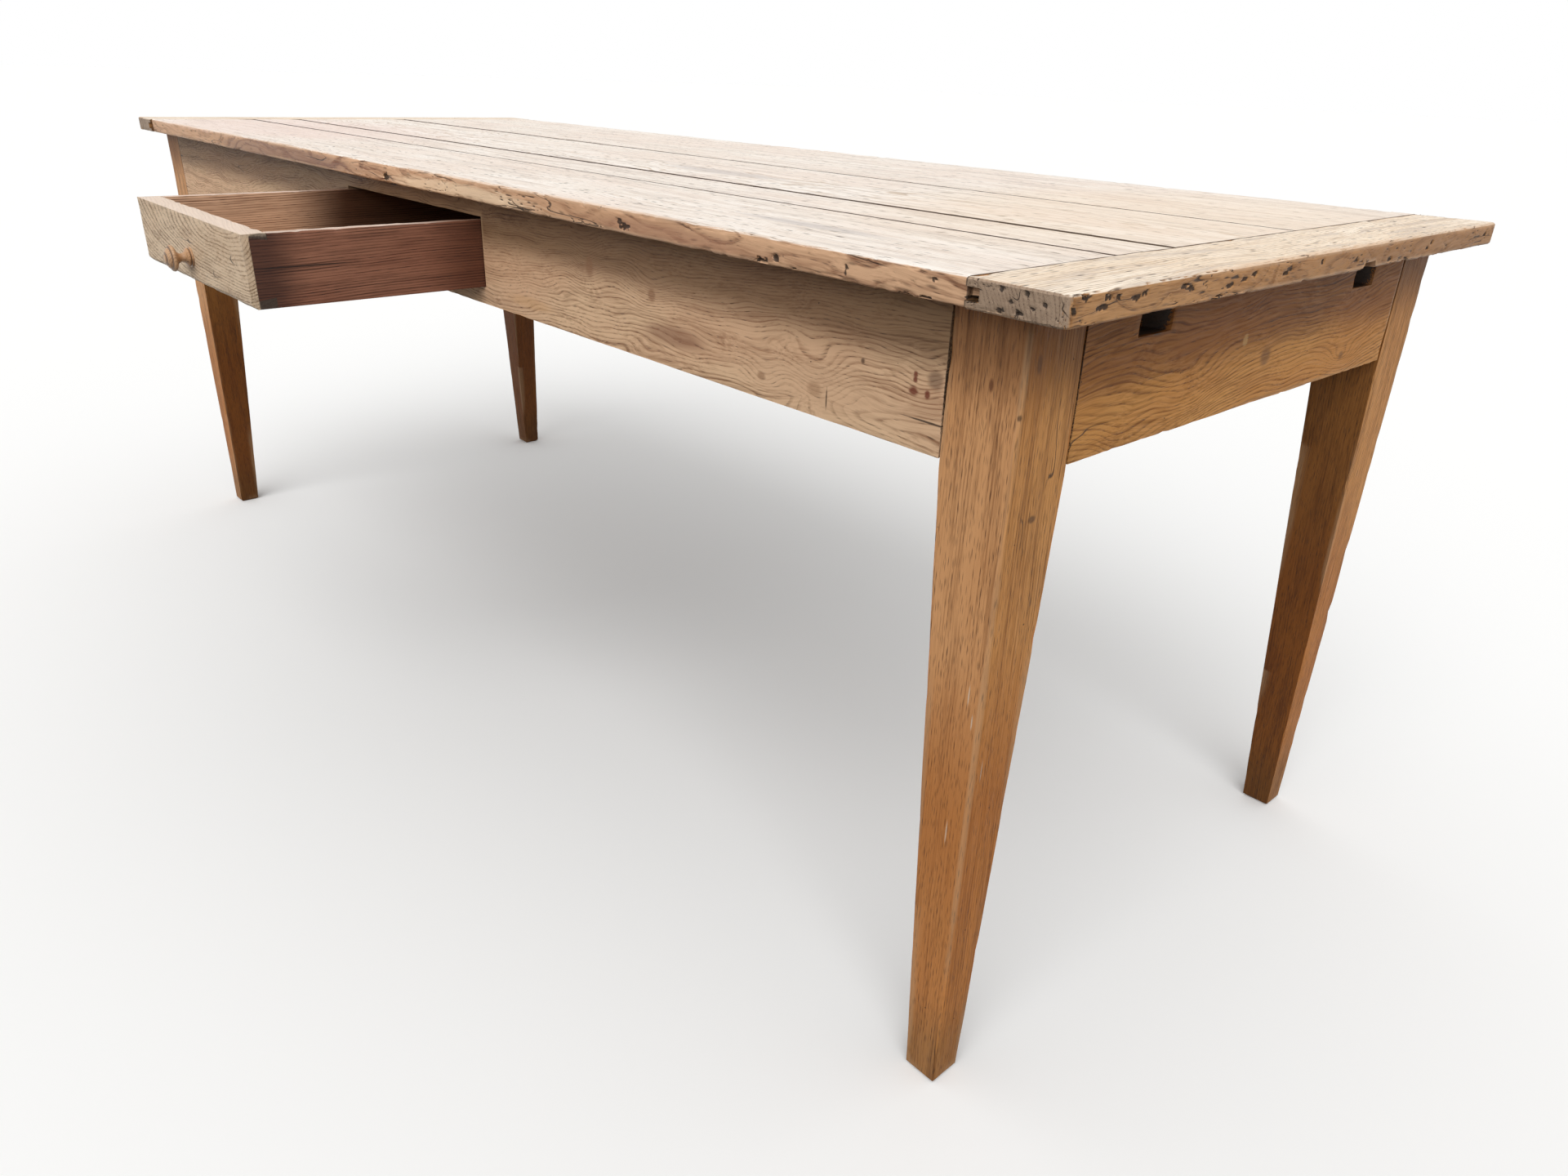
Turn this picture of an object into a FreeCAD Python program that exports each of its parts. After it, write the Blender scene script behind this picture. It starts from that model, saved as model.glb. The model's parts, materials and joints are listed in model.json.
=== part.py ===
"""A farmhouse table: plank top with breadboard ends, tapered legs, railed frame and one drawer.

The origin is the middle of the top's upper face, +Z is up, +X runs along the table and -Y is the
drawer's side. The drawer is drawn out as it stands at rest.
"""
import FreeCAD, Part
import os
import re
import Sketcher

# Driving sizes in millimetres
SIZES = {
    # Top
    "table_height": 760.0,
    "top_length": 2090.0,
    "top_width": 790.0,
    "top_thickness": 22.0,
    "top_edge_ease": 1.6,
    "breadboard_width": 82.0,
    "breadboard_corner_round": 8.0,
    "plank_recess": 3.0,
    "front_plank_width": 179.0,
    "second_plank_width": 86.0,
    "third_plank_width": 219.0,
    "plank_gap": 0.9,
    "edge_tongue_thickness": 6.0,
    "edge_tongue_reach": 8.0,
    "edge_tongue_clearance": 0.2,
    "end_tongue_thickness": 6.5,
    "end_tongue_reach": 11.0,
    "end_tongue_rise": 1.0,
    "end_tongue_setback": 4.0,
    "end_groove_height": 9.5,
    "end_groove_relief": 1.0,
    "chip_place": 72.0,
    "chip_width": 30.0,
    "chip_height": 6.0,
    "chip_reach": 9.0,
    # Legs and rails
    "end_overhang": 47.0,
    "side_overhang": 32.0,
    "leg_width": 68.0,
    "foot_width": 34.0,
    "taper_drop": 8.0,
    "foot_chamfer": 3.0,
    "arris_ease": 1.6,
    "rail_depth": 122.0,
    "rail_thickness": 26.0,
    "shoulder_gap": 1.6,
    "far_shoulder_gap": 3.2,
    "tenon_thickness": 10.0,
    "tenon_reach": 40.0,
    "tenon_top_shoulder": 24.0,
    "tenon_bottom_shoulder": 12.0,
    "tenon_clearance": 0.1,
    "mortise_relief": 2.0,
    "notch_place": 196.5,
    "notch_width": 47.0,
    "notch_depth": 34.0,
    # Drawer opening, runners, kickers and stops
    "drawer_place": 35.0,
    "opening_width": 378.0,
    "opening_top_strip": 22.0,
    "opening_bottom_strip": 20.0,
    "runner_ledge": 22.0,
    "runner_base": 18.0,
    "guide_thickness": 18.0,
    "guide_height": 24.0,
    "guide_clearance": 1.5,
    "kicker_width": 24.0,
    "kicker_height": 20.0,
    "stub_reach": 8.0,
    "stub_thickness": 10.0,
    "stub_shoulder": 4.0,
    "stub_clearance": 0.1,
    "stop_length": 30.0,
    "stop_width": 18.0,
    "stop_height": 25.0,
    "stop_clearance": 0.5,
    "stop_chamfer": 4.0,
    # Drawer
    "drawer_pull": 265.0,
    "drawer_depth": 500.0,
    "drawer_side_clearance": 2.0,
    "drawer_top_clearance": 3.5,
    "drawer_running_clearance": 0.5,
    "front_thickness": 26.0,
    "front_lap": 8.0,
    "front_bevel": 5.0,
    "side_thickness": 12.0,
    "back_thickness": 16.0,
    "back_drop": 6.0,
    "top_pin": 7.0,
    "bottom_pin": 11.0,
    "tail_flare": 2.5,
    "tail_clearance": 0.1,
    "floor_thickness": 6.6,
    "floor_rise": 13.0,
    "floor_groove_depth": 6.0,
    "floor_clearance": 0.4,
    # Knob
    "knob_drop": 9.0,
    "knob_length": 28.0,
    "knob_base_diameter": 21.0,
    "knob_base_edge": 2.0,
    "knob_waist_diameter": 9.0,
    "knob_waist_place": 10.5,
    "knob_head_diameter": 29.0,
    "knob_head_place": 17.0,
    "knob_ring_step": 3.0,
    "knob_rim_ease": 1.0,
    "knob_waist_ease": 2.5,
    "knob_crown_ease": 2.0,
    "knob_spigot_diameter": 13.0,
    "knob_spigot_clearance": 0.2,
    # Buttons, screws and nails
    "button_place": 620.0,
    "button_width": 40.0,
    "button_length": 36.0,
    "button_thickness": 18.0,
    "button_shoulder_gap": 1.5,
    "button_tongue_thickness": 8.0,
    "button_tongue_reach": 9.0,
    "button_slot_clearance": 1.0,
    "screw_diameter": 4.0,
    "screw_head_diameter": 8.0,
    "screw_head_height": 3.0,
    "screw_bite": 14.0,
    "screw_clearance": 0.2,
    "nail_diameter": 2.2,
    "nail_head_diameter": 5.0,
    "nail_head_height": 1.2,
    "nail_bite": 16.0,
    "nail_spacing": 130.0,
}

# Sizes that follow from the driving ones
DERIVED = {
    "half_length": "top_length / 2",
    "half_width": "top_width / 2",
    "board_end": "half_length - breadboard_width",
    "plank_edge": "half_width - plank_recess",
    "plank_span": "2 * board_end",
    "second_plank_place": "-plank_edge + front_plank_width + plank_gap",
    "third_plank_place": "second_plank_place + second_plank_width + plank_gap",
    "back_plank_place": "third_plank_place + third_plank_width + plank_gap",
    "back_plank_width": "plank_edge - back_plank_place",
    "end_groove_depth": "end_tongue_reach + end_groove_relief",
    "end_groove_floor": "-(top_thickness + end_groove_height) / 2",
    "end_tongue_floor": "-(top_thickness + end_tongue_thickness) / 2 + end_tongue_rise",
    "edge_tongue_floor": "-(top_thickness + edge_tongue_thickness) / 2",
    "edge_groove_height": "edge_tongue_thickness + edge_tongue_clearance",
    "edge_groove_depth": "edge_tongue_reach + edge_tongue_clearance",
    "edge_tongue_length": "edge_tongue_reach + plank_gap",
    "leg_face_x": "half_length - end_overhang",
    "leg_face_y": "half_width - side_overhang",
    "leg_length": "table_height - top_thickness",
    "taper_start": "rail_depth + taper_drop",
    "long_rail_length": "2 * (leg_face_x - leg_width - shoulder_gap)",
    "end_rail_length": "2 * (leg_face_y - leg_width) - shoulder_gap - far_shoulder_gap",
    "tenon_inset": "(rail_thickness - tenon_thickness) / 2",
    "tenon_height": "rail_depth - tenon_top_shoulder - tenon_bottom_shoulder",
    "tenon_floor": "-(rail_depth - tenon_bottom_shoulder)",
    "mortise_depth": "tenon_reach + mortise_relief",
    "mortise_inset": "tenon_inset - tenon_clearance",
    "mortise_width": "tenon_thickness + 2 * tenon_clearance",
    "mortise_height": "tenon_height + 2 * tenon_clearance",
    "mortise_floor": "tenon_floor - tenon_clearance",
    "opening_height": "rail_depth - opening_top_strip - opening_bottom_strip",
    "opening_floor": "-(rail_depth - opening_bottom_strip)",
    "rail_inner_y": "leg_face_y - rail_thickness",
    "runner_width": "runner_ledge + guide_clearance + guide_thickness",
    "runner_span": "2 * rail_inner_y",
    "drawer_width": "opening_width - 2 * drawer_side_clearance",
    "half_drawer": "drawer_width / 2",
    "drawer_height": "opening_height - drawer_top_clearance - drawer_running_clearance",
    "drawer_face_y": "-(leg_face_y + drawer_pull)",
    "drawer_bottom_z": "-top_thickness + opening_floor + drawer_running_clearance",
    "tail_reach": "front_thickness - front_lap",
    "side_length": "drawer_depth - front_lap",
    "side_back": "side_length - back_thickness",
    "tail_top": "drawer_height - top_pin",
    "floor_groove_height": "floor_thickness + floor_clearance",
    "floor_groove_top": "floor_rise + floor_groove_height",
    "floor_half": "half_drawer - side_thickness + floor_groove_depth - floor_clearance",
    "floor_front": "front_thickness - floor_groove_depth + floor_clearance",
    "button_slot_depth": "button_tongue_reach + button_slot_clearance",
    "button_slot_width": "button_width + 2 * button_slot_clearance",
    "button_slot_height": "button_tongue_thickness + button_slot_clearance",
    "button_screw_place": "button_shoulder_gap + button_length / 2",
    "screw_hole": "screw_diameter + screw_clearance",
    "nail_hole": "nail_diameter + screw_clearance",
}

doc = FreeCAD.newDocument("FarmhouseTable")
sheet = doc.addObject("Spreadsheet::Sheet", "Sizes")
for row, (alias, number) in enumerate(SIZES.items(), 1):
    sheet.set(f"A{row}", alias.replace("_", " "))
    sheet.set(f"B{row}", str(number))
    sheet.setAlias(f"B{row}", alias)
doc.recompute()

SIZE_NAME = re.compile(r"[a-z][a-z_]+")
FULL_TURN = 360
HALF_TURN = 180
QUARTER_TURN = 90
CLOSE = 1e-6
NAIL_ROW = (-1, 0, 1)
START_SIZE = 1.0
X, Y, Z = range(3)
# How a sketch counts its own origin and axes, a line's two ends and its first circle's centre
ORIGIN = (-1, 1)
SKETCH_AXES = (-2, -1)
LINE_ENDS = (1, 2)
CIRCLE_CENTRE = (0, 3)
pieces = []


def formula(text):
    """Spell out derived sizes and point the driving ones at the sheet."""

    def spell(match):
        word = match.group()
        if word in DERIVED:
            return "(" + formula(DERIVED[word]) + ")"
        return "Sizes." + word

    return SIZE_NAME.sub(spell, str(text))


def size_of(name):
    return sheet.get(name)


def bind(item, path, text):
    item.setExpression(path, formula(text))


def new_piece(label, place=(0, 0, 0), turn=0):
    """A body with its own label, set at a place of the table and turned about the vertical."""
    body = doc.addObject("PartDesign::Body", label)
    body.Label = label
    body.Placement = FreeCAD.Placement(FreeCAD.Vector(), FreeCAD.Rotation(FreeCAD.Vector(0, 0, 1), turn))
    for axis, text in zip("xyz", place):
        bind(body, "Placement.Base." + axis, text)
    pieces.append(body)
    return body


def new_sketch(body, name, plane, corner):
    """A sketch on one of the body's own planes, its origin at a corner given along the body's axes."""
    across, up, out = {
        "XY": (corner[0], corner[1], corner[2]),
        "XZ": (corner[0], corner[2], f"-({corner[1]})"),
        "YZ": (corner[1], corner[2], corner[0]),
    }[plane]
    sketch = body.newObject("Sketcher::SketchObject", f"{body.Name}_{name}_sketch")
    support = next(f for f in body.Origin.OriginFeatures if f.Role == plane + "_Plane")
    sketch.AttachmentSupport = [(support, "")]
    sketch.MapMode = "FlatFace"
    for axis, text in zip("xyz", (across, up, out)):
        bind(sketch, "AttachmentOffset.Base." + axis, text)
    return sketch


def pin_point(sketch, line, end, spot):
    """Hold one end of a line at a spot, each of its two distances bound to the sheet."""
    for text, kind, axis in zip(spot, ("DistanceX", "DistanceY"), SKETCH_AXES):
        if text == "0":
            sketch.addConstraint(Sketcher.Constraint("PointOnObject", line, end, axis))
        else:
            number = sketch.addConstraint(Sketcher.Constraint(kind, *ORIGIN, line, end, START_SIZE))
            bind(sketch, f"Constraints[{number}]", text)


def draw_outline(sketch, spots):
    """A closed outline of straight lines through the spots."""
    lines = [
        Part.LineSegment(FreeCAD.Vector(n, n * n, 0), FreeCAD.Vector(n + 1, (n + 1) * (n + 1), 0))
        for n in range(len(spots))
    ]
    sketch.addGeometry(lines, False)
    for n, spot in enumerate(spots):
        before = n - 1 if n else len(spots) - 1
        sketch.addConstraint(Sketcher.Constraint("Coincident", before, LINE_ENDS[1], n, LINE_ENDS[0]))
        pin_point(sketch, n, LINE_ENDS[0], spot)


def rectangle(width, height):
    return [("0", "0"), (width, "0"), (width, height), ("0", height)]


def extrude(body, name, sketch, plane, length, kind):
    """Add or cut from the sketch towards the positive end of the axis that the plane leaves."""
    feature = body.newObject("PartDesign::" + kind, f"{body.Name}_{name}")
    feature.Profile = sketch
    bind(feature, "Length", length)
    feature.Reversed = (plane == "XZ") == (kind == "Pad")


def shape_on(body, name, kind, plane, corner, spots, length):
    sketch = new_sketch(body, name, plane, corner)
    draw_outline(sketch, spots)
    extrude(body, name, sketch, plane, length, kind)


def add_block(body, name, corner, size):
    shape_on(body, name, "Pad", "XY", corner, rectangle(size[0], size[1]), size[2])


def cut_block(body, name, corner, size):
    shape_on(body, name, "Pocket", "XY", corner, rectangle(size[0], size[1]), size[2])


def drill(body, name, plane, centre, diameter, depth):
    """A round hole from its centre towards the positive end of the axis that the plane leaves."""
    sketch = new_sketch(body, name, plane, centre)
    circle = Part.Circle(FreeCAD.Vector(0, 0, 0), FreeCAD.Vector(0, 0, 1), START_SIZE)
    sketch.addGeometry(circle, False)
    sketch.addConstraint(Sketcher.Constraint("Coincident", *CIRCLE_CENTRE, *ORIGIN))
    number = sketch.addConstraint(Sketcher.Constraint("Diameter", 0, START_SIZE))
    bind(sketch, f"Constraints[{number}]", diameter)
    extrude(body, name, sketch, plane, depth, "Pocket")


def dress(body, name, kind, size, wanted):
    """Round or chamfer the edges of the piece so far that answer the test."""
    doc.recompute()
    base = body.Tip
    chosen = [f"Edge{n}" for n, edge in enumerate(base.Shape.Edges, 1) if wanted(edge)]
    feature = body.newObject("PartDesign::" + kind, f"{body.Name}_{name}")
    feature.Base = (base, chosen)
    bind(feature, {"Fillet": "Radius", "Chamfer": "Size"}[kind], size)


def runs_along(edge, axis):
    """Is the edge straight and parallel to the axis?"""
    if len(edge.Vertexes) != 2:
        return False
    step = edge.Vertexes[1].Point - edge.Vertexes[0].Point
    return abs(abs(step[axis]) - step.Length) < CLOSE * step.Length


def lies_at(edge, axis, level):
    """Do both ends of the edge lie at a level of the axis?"""
    return all(abs(v.Point[axis] - level) < CLOSE for v in edge.Vertexes)


def is_ring(edge, diameter):
    """Is the edge a circle of that diameter?"""
    return hasattr(edge.Curve, "Radius") and abs(2 * edge.Curve.Radius - diameter) < CLOSE


def ends_of(body, axis):
    """The lowest and highest places of the piece so far along one of its axes."""
    doc.recompute()
    box = body.Tip.Shape.BoundBox
    low = (box.XMin, box.YMin, box.ZMin)[axis]
    high = (box.XMax, box.YMax, box.ZMax)[axis]
    return low, high


def make_plank(label, place, width, has_groove, has_tongue, outer_edges, screw_holes=()):
    """A plank from its front edge at y = 0, with end tongues and the edge joint to its neighbours."""
    plank = new_piece(label, ("0", place, "0"))
    add_block(plank, "board", ("-board_end", "0", "-top_thickness"), ("plank_span", width, "top_thickness"))
    front_setback = "end_tongue_setback" if -1 in outer_edges else "0"
    back_setback = "end_tongue_setback" if 1 in outer_edges else "0"
    tongue_width = f"{width} - {front_setback} - {back_setback}"
    tongue = ("end_tongue_reach", tongue_width, "end_tongue_thickness")
    add_block(plank, "right_tongue", ("board_end", front_setback, "end_tongue_floor"), tongue)
    corner = ("-board_end - end_tongue_reach", front_setback, "end_tongue_floor")
    add_block(plank, "left_tongue", corner, tongue)
    if has_tongue:
        corner = ("-board_end", width, "edge_tongue_floor")
        add_block(plank, "edge_tongue", corner, ("plank_span", "edge_tongue_length", "edge_tongue_thickness"))
    if has_groove:
        length = "plank_span + 2 * end_tongue_reach"
        corner = ("-board_end - end_tongue_reach", "0", "edge_tongue_floor - edge_tongue_clearance / 2")
        cut_block(plank, "edge_groove", corner, (length, "edge_groove_depth", "edge_groove_height"))
    for number, (along, across) in enumerate(screw_holes):
        drill(plank, f"pilot{number}", "XY", (along, across, "-top_thickness"), "screw_hole", "screw_bite")
    low, high = ends_of(plank, Y)
    for side in outer_edges:
        level = low if side < 0 else high
        dress(plank, f"edge{side + 1}", "Chamfer", "top_edge_ease",
              lambda e, level=level: runs_along(e, X) and lies_at(e, Y, level))


def make_planks():
    pilot_y = "plank_edge - rail_inner_y + button_screw_place"
    pair = [("-button_place", pilot_y), ("button_place", pilot_y)]
    make_plank("top_plank_front", "-plank_edge", "front_plank_width", False, True, (-1,), pair)
    make_plank("top_plank_second", "second_plank_place", "second_plank_width", True, True, ())
    pilot_x = "leg_face_x - rail_thickness - button_screw_place"
    pair = [(f"-({pilot_x})", "-third_plank_place"), (pilot_x, "-third_plank_place")]
    make_plank("top_plank_third", "third_plank_place", "third_plank_width", True, True, (), pair)
    pilot_y = "rail_inner_y - button_screw_place - back_plank_place"
    pair = [("-button_place", pilot_y), ("button_place", pilot_y)]
    make_plank("top_plank_back", "back_plank_place", "back_plank_width", True, False, (1,), pair)


def make_breadboard(label, side, has_chip):
    """A board across the planks' ends, grooved from end to end for their tongues."""
    board = new_piece(label, (f"{side} * board_end", "0", "0"), 0 if side > 0 else HALF_TURN)
    corner = ("0", "-half_width", "-top_thickness")
    add_block(board, "board", corner, ("breadboard_width", "top_width", "top_thickness"))
    corner = ("0", "-half_width", "end_groove_floor")
    cut_block(board, "groove", corner, ("end_groove_depth", "top_width", "end_groove_height"))
    dress(board, "corners", "Fillet", "breadboard_corner_round",
          lambda e: runs_along(e, Z) and lies_at(e, X, ends_of(board, X)[1]))
    outer = ends_of(board, X)[1]
    dress(board, "edges", "Chamfer", "top_edge_ease",
          lambda e: runs_along(e, Y) and lies_at(e, X, outer))
    if has_chip:
        spots = [("0", "0"), ("chip_width", "0"), ("chip_width - chip_height / 2", "chip_height"),
                 ("chip_height", "chip_height")]
        corner = ("breadboard_width - chip_reach", "chip_place - chip_width / 2", "-top_thickness")
        shape_on(board, "chip", "Pocket", "YZ", corner, spots, "chip_reach")


def make_leg(label, side_x, side_y, turn):
    """A leg from its outer corner, straight at the rails and tapered on the two inner faces below."""
    leg = new_piece(label, (f"{side_x} * leg_face_x", f"{side_y} * leg_face_y", "-top_thickness"), turn)
    add_block(leg, "block", ("0", "0", "-leg_length"), ("leg_width", "leg_width", "leg_length"))
    wedge = [("leg_width", "-taper_start"), ("leg_width", "-leg_length"), ("foot_width", "-leg_length")]
    for plane in ("XZ", "YZ"):
        shape_on(leg, "taper_" + plane.lower(), "Pocket", plane, ("0", "0", "0"), wedge, "leg_width")
    bottom = ends_of(leg, Z)[0]
    dress(leg, "foot", "Chamfer", "foot_chamfer", lambda e: lies_at(e, Z, bottom))
    dress(leg, "arris", "Chamfer", "arris_ease",
          lambda e: runs_along(e, Z) and lies_at(e, X, 0) and lies_at(e, Y, 0))
    inner = "leg_width - mortise_depth"
    cut_block(leg, "mortise_x", (inner, "mortise_inset", "mortise_floor"),
              ("mortise_depth", "mortise_width", "mortise_height"))
    cut_block(leg, "mortise_y", ("mortise_inset", inner, "mortise_floor"),
              ("mortise_width", "mortise_depth", "mortise_height"))


def make_legs():
    """One pattern turned to each corner: both its mortises are alike."""
    make_leg("leg_front_left", -1, -1, 0)
    make_leg("leg_front_right", 1, -1, QUARTER_TURN)
    make_leg("leg_back_right", 1, 1, HALF_TURN)
    make_leg("leg_back_left", -1, 1, -QUARTER_TURN)


def make_rail(label, place, turn, length, first_gap, second_gap):
    """A rail along its own x, outer face at y = 0 and top at z = 0, with a tenon at each end."""
    rail = new_piece(label, place, turn)
    corner = (f"-({length}) / 2", "0", "-rail_depth")
    add_block(rail, "board", corner, (length, "rail_thickness", "rail_depth"))
    for name, gap, start in (("first", first_gap, f"-({length}) / 2 - tenon_reach - {first_gap}"),
                             ("second", second_gap, f"({length}) / 2")):
        add_block(rail, name + "_tenon", (start, "tenon_inset", "tenon_floor"),
                  (f"tenon_reach + {gap}", "tenon_thickness", "tenon_height"))
    return rail


def cut_button_slot(rail, name, along):
    corner = (f"{along} - button_slot_width / 2", "rail_thickness - button_slot_depth",
              "-(button_thickness + button_slot_clearance)")
    cut_block(rail, name, corner, ("button_slot_width", "button_slot_depth", "button_slot_height"))


def cut_stub_mortises(rail, way):
    """Seats for the stub tenons of runners and kickers; way is -1 on the rail that is turned round."""
    seat = "(stub_reach + stub_clearance)"
    for side, name in ((-1, "left"), (1, "right")):
        face = f"(drawer_place + {side} * half_drawer)"
        middle = f"{way} * ({face} + {side} * (runner_width / 2 - runner_ledge))"
        width = "(runner_width - 2 * stub_shoulder + 2 * stub_clearance)"
        height = "stub_thickness + 2 * stub_clearance"
        floor = "opening_floor - (runner_base + stub_thickness) / 2 - stub_clearance"
        cut_block(rail, name + "_runner_seat", (f"{middle} - {width} / 2", f"rail_thickness - {seat}", floor),
                  (width, seat, height))
        middle = f"{way} * ({face} - {side} * side_thickness / 2)"
        width = "(kicker_width - 2 * stub_shoulder + 2 * stub_clearance)"
        floor = "-opening_top_strip + (kicker_height - stub_thickness) / 2 - stub_clearance"
        cut_block(rail, name + "_kicker_seat", (f"{middle} - {width} / 2", f"rail_thickness - {seat}", floor),
                  (width, seat, height))


def make_rails():
    front = make_rail("front_rail", ("0", "-leg_face_y", "-top_thickness"), 0, "long_rail_length",
                      "shoulder_gap", "shoulder_gap")
    cut_block(front, "drawer_opening", ("drawer_place - opening_width / 2", "0", "opening_floor"),
              ("opening_width", "rail_thickness", "opening_height"))
    back = make_rail("back_rail", ("0", "leg_face_y", "-top_thickness"), HALF_TURN, "long_rail_length",
                     "shoulder_gap", "shoulder_gap")
    for rail, way in ((front, 1), (back, -1)):
        cut_stub_mortises(rail, way)
        cut_button_slot(rail, "first_slot", "-button_place")
        cut_button_slot(rail, "second_slot", "button_place")
    shift = "(shoulder_gap - far_shoulder_gap) / 2"
    for label, side in (("end_rail_right", 1), ("end_rail_left", -1)):
        place = (f"{side} * leg_face_x", f"{side} * {shift}", "-top_thickness")
        rail = make_rail(label, place, side * QUARTER_TURN, "end_rail_length",
                         "shoulder_gap", "far_shoulder_gap")
        for name, way in (("near_notch", -1), ("far_notch", 1)):
            corner = (f"{way} * notch_place - notch_width / 2 - {shift}", "0", "-notch_depth")
            cut_block(rail, name, corner, ("notch_width", "rail_thickness", "notch_depth"))
        cut_button_slot(rail, "slot", f"-{shift}")


def make_runner(label, side):
    """An L-shaped bar: its ledge carries the drawer's side and its guide keeps it in line."""
    place = (f"drawer_place + {side} * half_drawer", "0", "-top_thickness + opening_floor")
    runner = new_piece(label, place, 0 if side > 0 else HALF_TURN)
    spots = [("0", "0"), ("runner_width", "0"), ("runner_width", "runner_base + guide_height"),
             ("runner_ledge + guide_clearance", "runner_base + guide_height"),
             ("runner_ledge + guide_clearance", "runner_base"), ("0", "runner_base")]
    corner = ("-runner_ledge", "-rail_inner_y", "-runner_base")
    shape_on(runner, "bar", "Pad", "XZ", corner, spots, "runner_span")
    stub = ("runner_width - 2 * stub_shoulder", "stub_reach", "stub_thickness")
    floor = "-(runner_base + stub_thickness) / 2"
    for name, start in (("front_stub", "-rail_inner_y - stub_reach"), ("back_stub", "rail_inner_y")):
        add_block(runner, name, ("-runner_ledge + stub_shoulder", start, floor), stub)


def make_kicker(label, side):
    """A bar over the drawer's side, level with the head of the opening."""
    middle = f"drawer_place + {side} * (half_drawer - side_thickness / 2)"
    kicker = new_piece(label, (middle, "0", "-top_thickness - opening_top_strip"))
    add_block(kicker, "bar", ("-kicker_width / 2", "-rail_inner_y", "0"),
              ("kicker_width", "runner_span", "kicker_height"))
    stub = ("kicker_width - 2 * stub_shoulder", "stub_reach", "stub_thickness")
    floor = "(kicker_height - stub_thickness) / 2"
    for name, start in (("front_stub", "-rail_inner_y - stub_reach"), ("back_stub", "rail_inner_y")):
        add_block(kicker, name, ("-kicker_width / 2 + stub_shoulder", start, floor), stub)


def make_stop(label, side):
    """A block on the runner's ledge that the closed drawer meets."""
    edge = f"drawer_place + {side} * (half_drawer - runner_ledge + stop_width / 2)"
    place = (edge, "-leg_face_y + drawer_depth + stop_clearance", "-top_thickness + opening_floor")
    stop = new_piece(label, place)
    add_block(stop, "block", ("-stop_width / 2", "0", "0"), ("stop_width", "stop_length", "stop_height"))
    back, top = ends_of(stop, Y)[1], ends_of(stop, Z)[1]
    dress(stop, "slope", "Chamfer", "stop_chamfer", lambda e: lies_at(e, Y, back) and lies_at(e, Z, top))


def make_drawer_ways():
    for side, name in ((-1, "left"), (1, "right")):
        make_runner("drawer_runner_" + name, side)
        make_kicker("drawer_kicker_" + name, side)
        make_stop("drawer_stop_" + name, side)


def drawer_place(y="0", z="0"):
    return ("drawer_place", f"drawer_face_y + {y}", f"drawer_bottom_z + {z}")


def make_drawer_front():
    """The front: lapped dovetail sockets at its ends, a groove for the floor and the knob's hole."""
    front = new_piece("drawer_front", drawer_place())
    add_block(front, "board", ("-half_drawer", "0", "0"),
              ("drawer_width", "front_thickness", "drawer_height"))
    dress(front, "bevel", "Chamfer", "front_bevel",
          lambda e: runs_along(e, X) and lies_at(e, Y, 0) and lies_at(e, Z, 0))
    socket = [("0", "0"), ("tail_reach", "tail_flare"),
              ("tail_reach", "tail_flare + tail_top - bottom_pin + 2 * tail_clearance"),
              ("0", "2 * tail_flare + tail_top - bottom_pin + 2 * tail_clearance")]
    floor = "bottom_pin - tail_flare - tail_clearance"
    for name, start in (("left_socket", "-half_drawer"), ("right_socket", "half_drawer - side_thickness")):
        shape_on(front, name, "Pocket", "YZ", (start, "front_lap", floor), socket, "side_thickness")
    groove_half = "(half_drawer - side_thickness + floor_groove_depth)"
    corner = (f"-{groove_half}", "front_thickness - floor_groove_depth", "floor_rise")
    cut_block(front, "floor_groove", corner,
              (f"2 * {groove_half}", "floor_groove_depth", "floor_groove_height"))
    drill(front, "knob_hole", "XZ", ("0", "0", "drawer_height / 2 - knob_drop"),
          "knob_spigot_diameter + knob_spigot_clearance", "front_thickness")


def make_drawer_side(label, side):
    """A side with one broad tail in the front, a half tail through the back and a groove inside."""
    start = f"{side} * half_drawer" if side < 0 else "half_drawer - side_thickness"
    place = (f"drawer_place + {start}", "drawer_face_y + front_lap", "drawer_bottom_z")
    board = new_piece(label, place)
    spots = [("0", "bottom_pin - tail_flare"), ("tail_reach", "bottom_pin"), ("tail_reach", "0"),
             ("side_length", "0"), ("side_length", "tail_top + tail_flare"), ("side_back", "tail_top"),
             ("side_back", "drawer_height"), ("tail_reach", "drawer_height"), ("tail_reach", "tail_top"),
             ("0", "tail_top + tail_flare")]
    shape_on(board, "board", "Pad", "YZ", ("0", "0", "0"), spots, "side_thickness")
    inner = "side_thickness - floor_groove_depth" if side < 0 else "0"
    cut_block(board, "floor_groove", (inner, "0", "floor_rise"),
              ("floor_groove_depth", "side_length", "floor_groove_height"))


def make_drawer_back():
    """The back stands on the floor board and holds the sides' half tails under its top pins."""
    back = new_piece("drawer_back", drawer_place("drawer_depth - back_thickness"))
    height = "drawer_height - floor_groove_top"
    add_block(back, "board", ("-half_drawer", "0", "floor_groove_top"),
              ("drawer_width", "back_thickness", height))
    rise = "tail_top - floor_groove_top + tail_clearance"
    socket = [("0", "0"), ("back_thickness", "0"), ("back_thickness", f"{rise} + tail_flare"), ("0", rise)]
    for name, start in (("left_socket", "-half_drawer"), ("right_socket", "half_drawer - side_thickness")):
        shape_on(back, name, "Pocket", "YZ", (start, "0", "floor_groove_top"), socket, "side_thickness")
    middle = "2 * (half_drawer - side_thickness)"
    cut_block(back, "dip", ("-half_drawer + side_thickness", "0", "drawer_height - back_drop"),
              (middle, "back_thickness", "back_drop"))
    for number in NAIL_ROW:
        drill(back, f"nail_hole{number + 1}", "XY", (f"{number} * nail_spacing", "back_thickness / 2",
              "floor_groove_top"), "nail_hole", "nail_bite")


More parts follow.
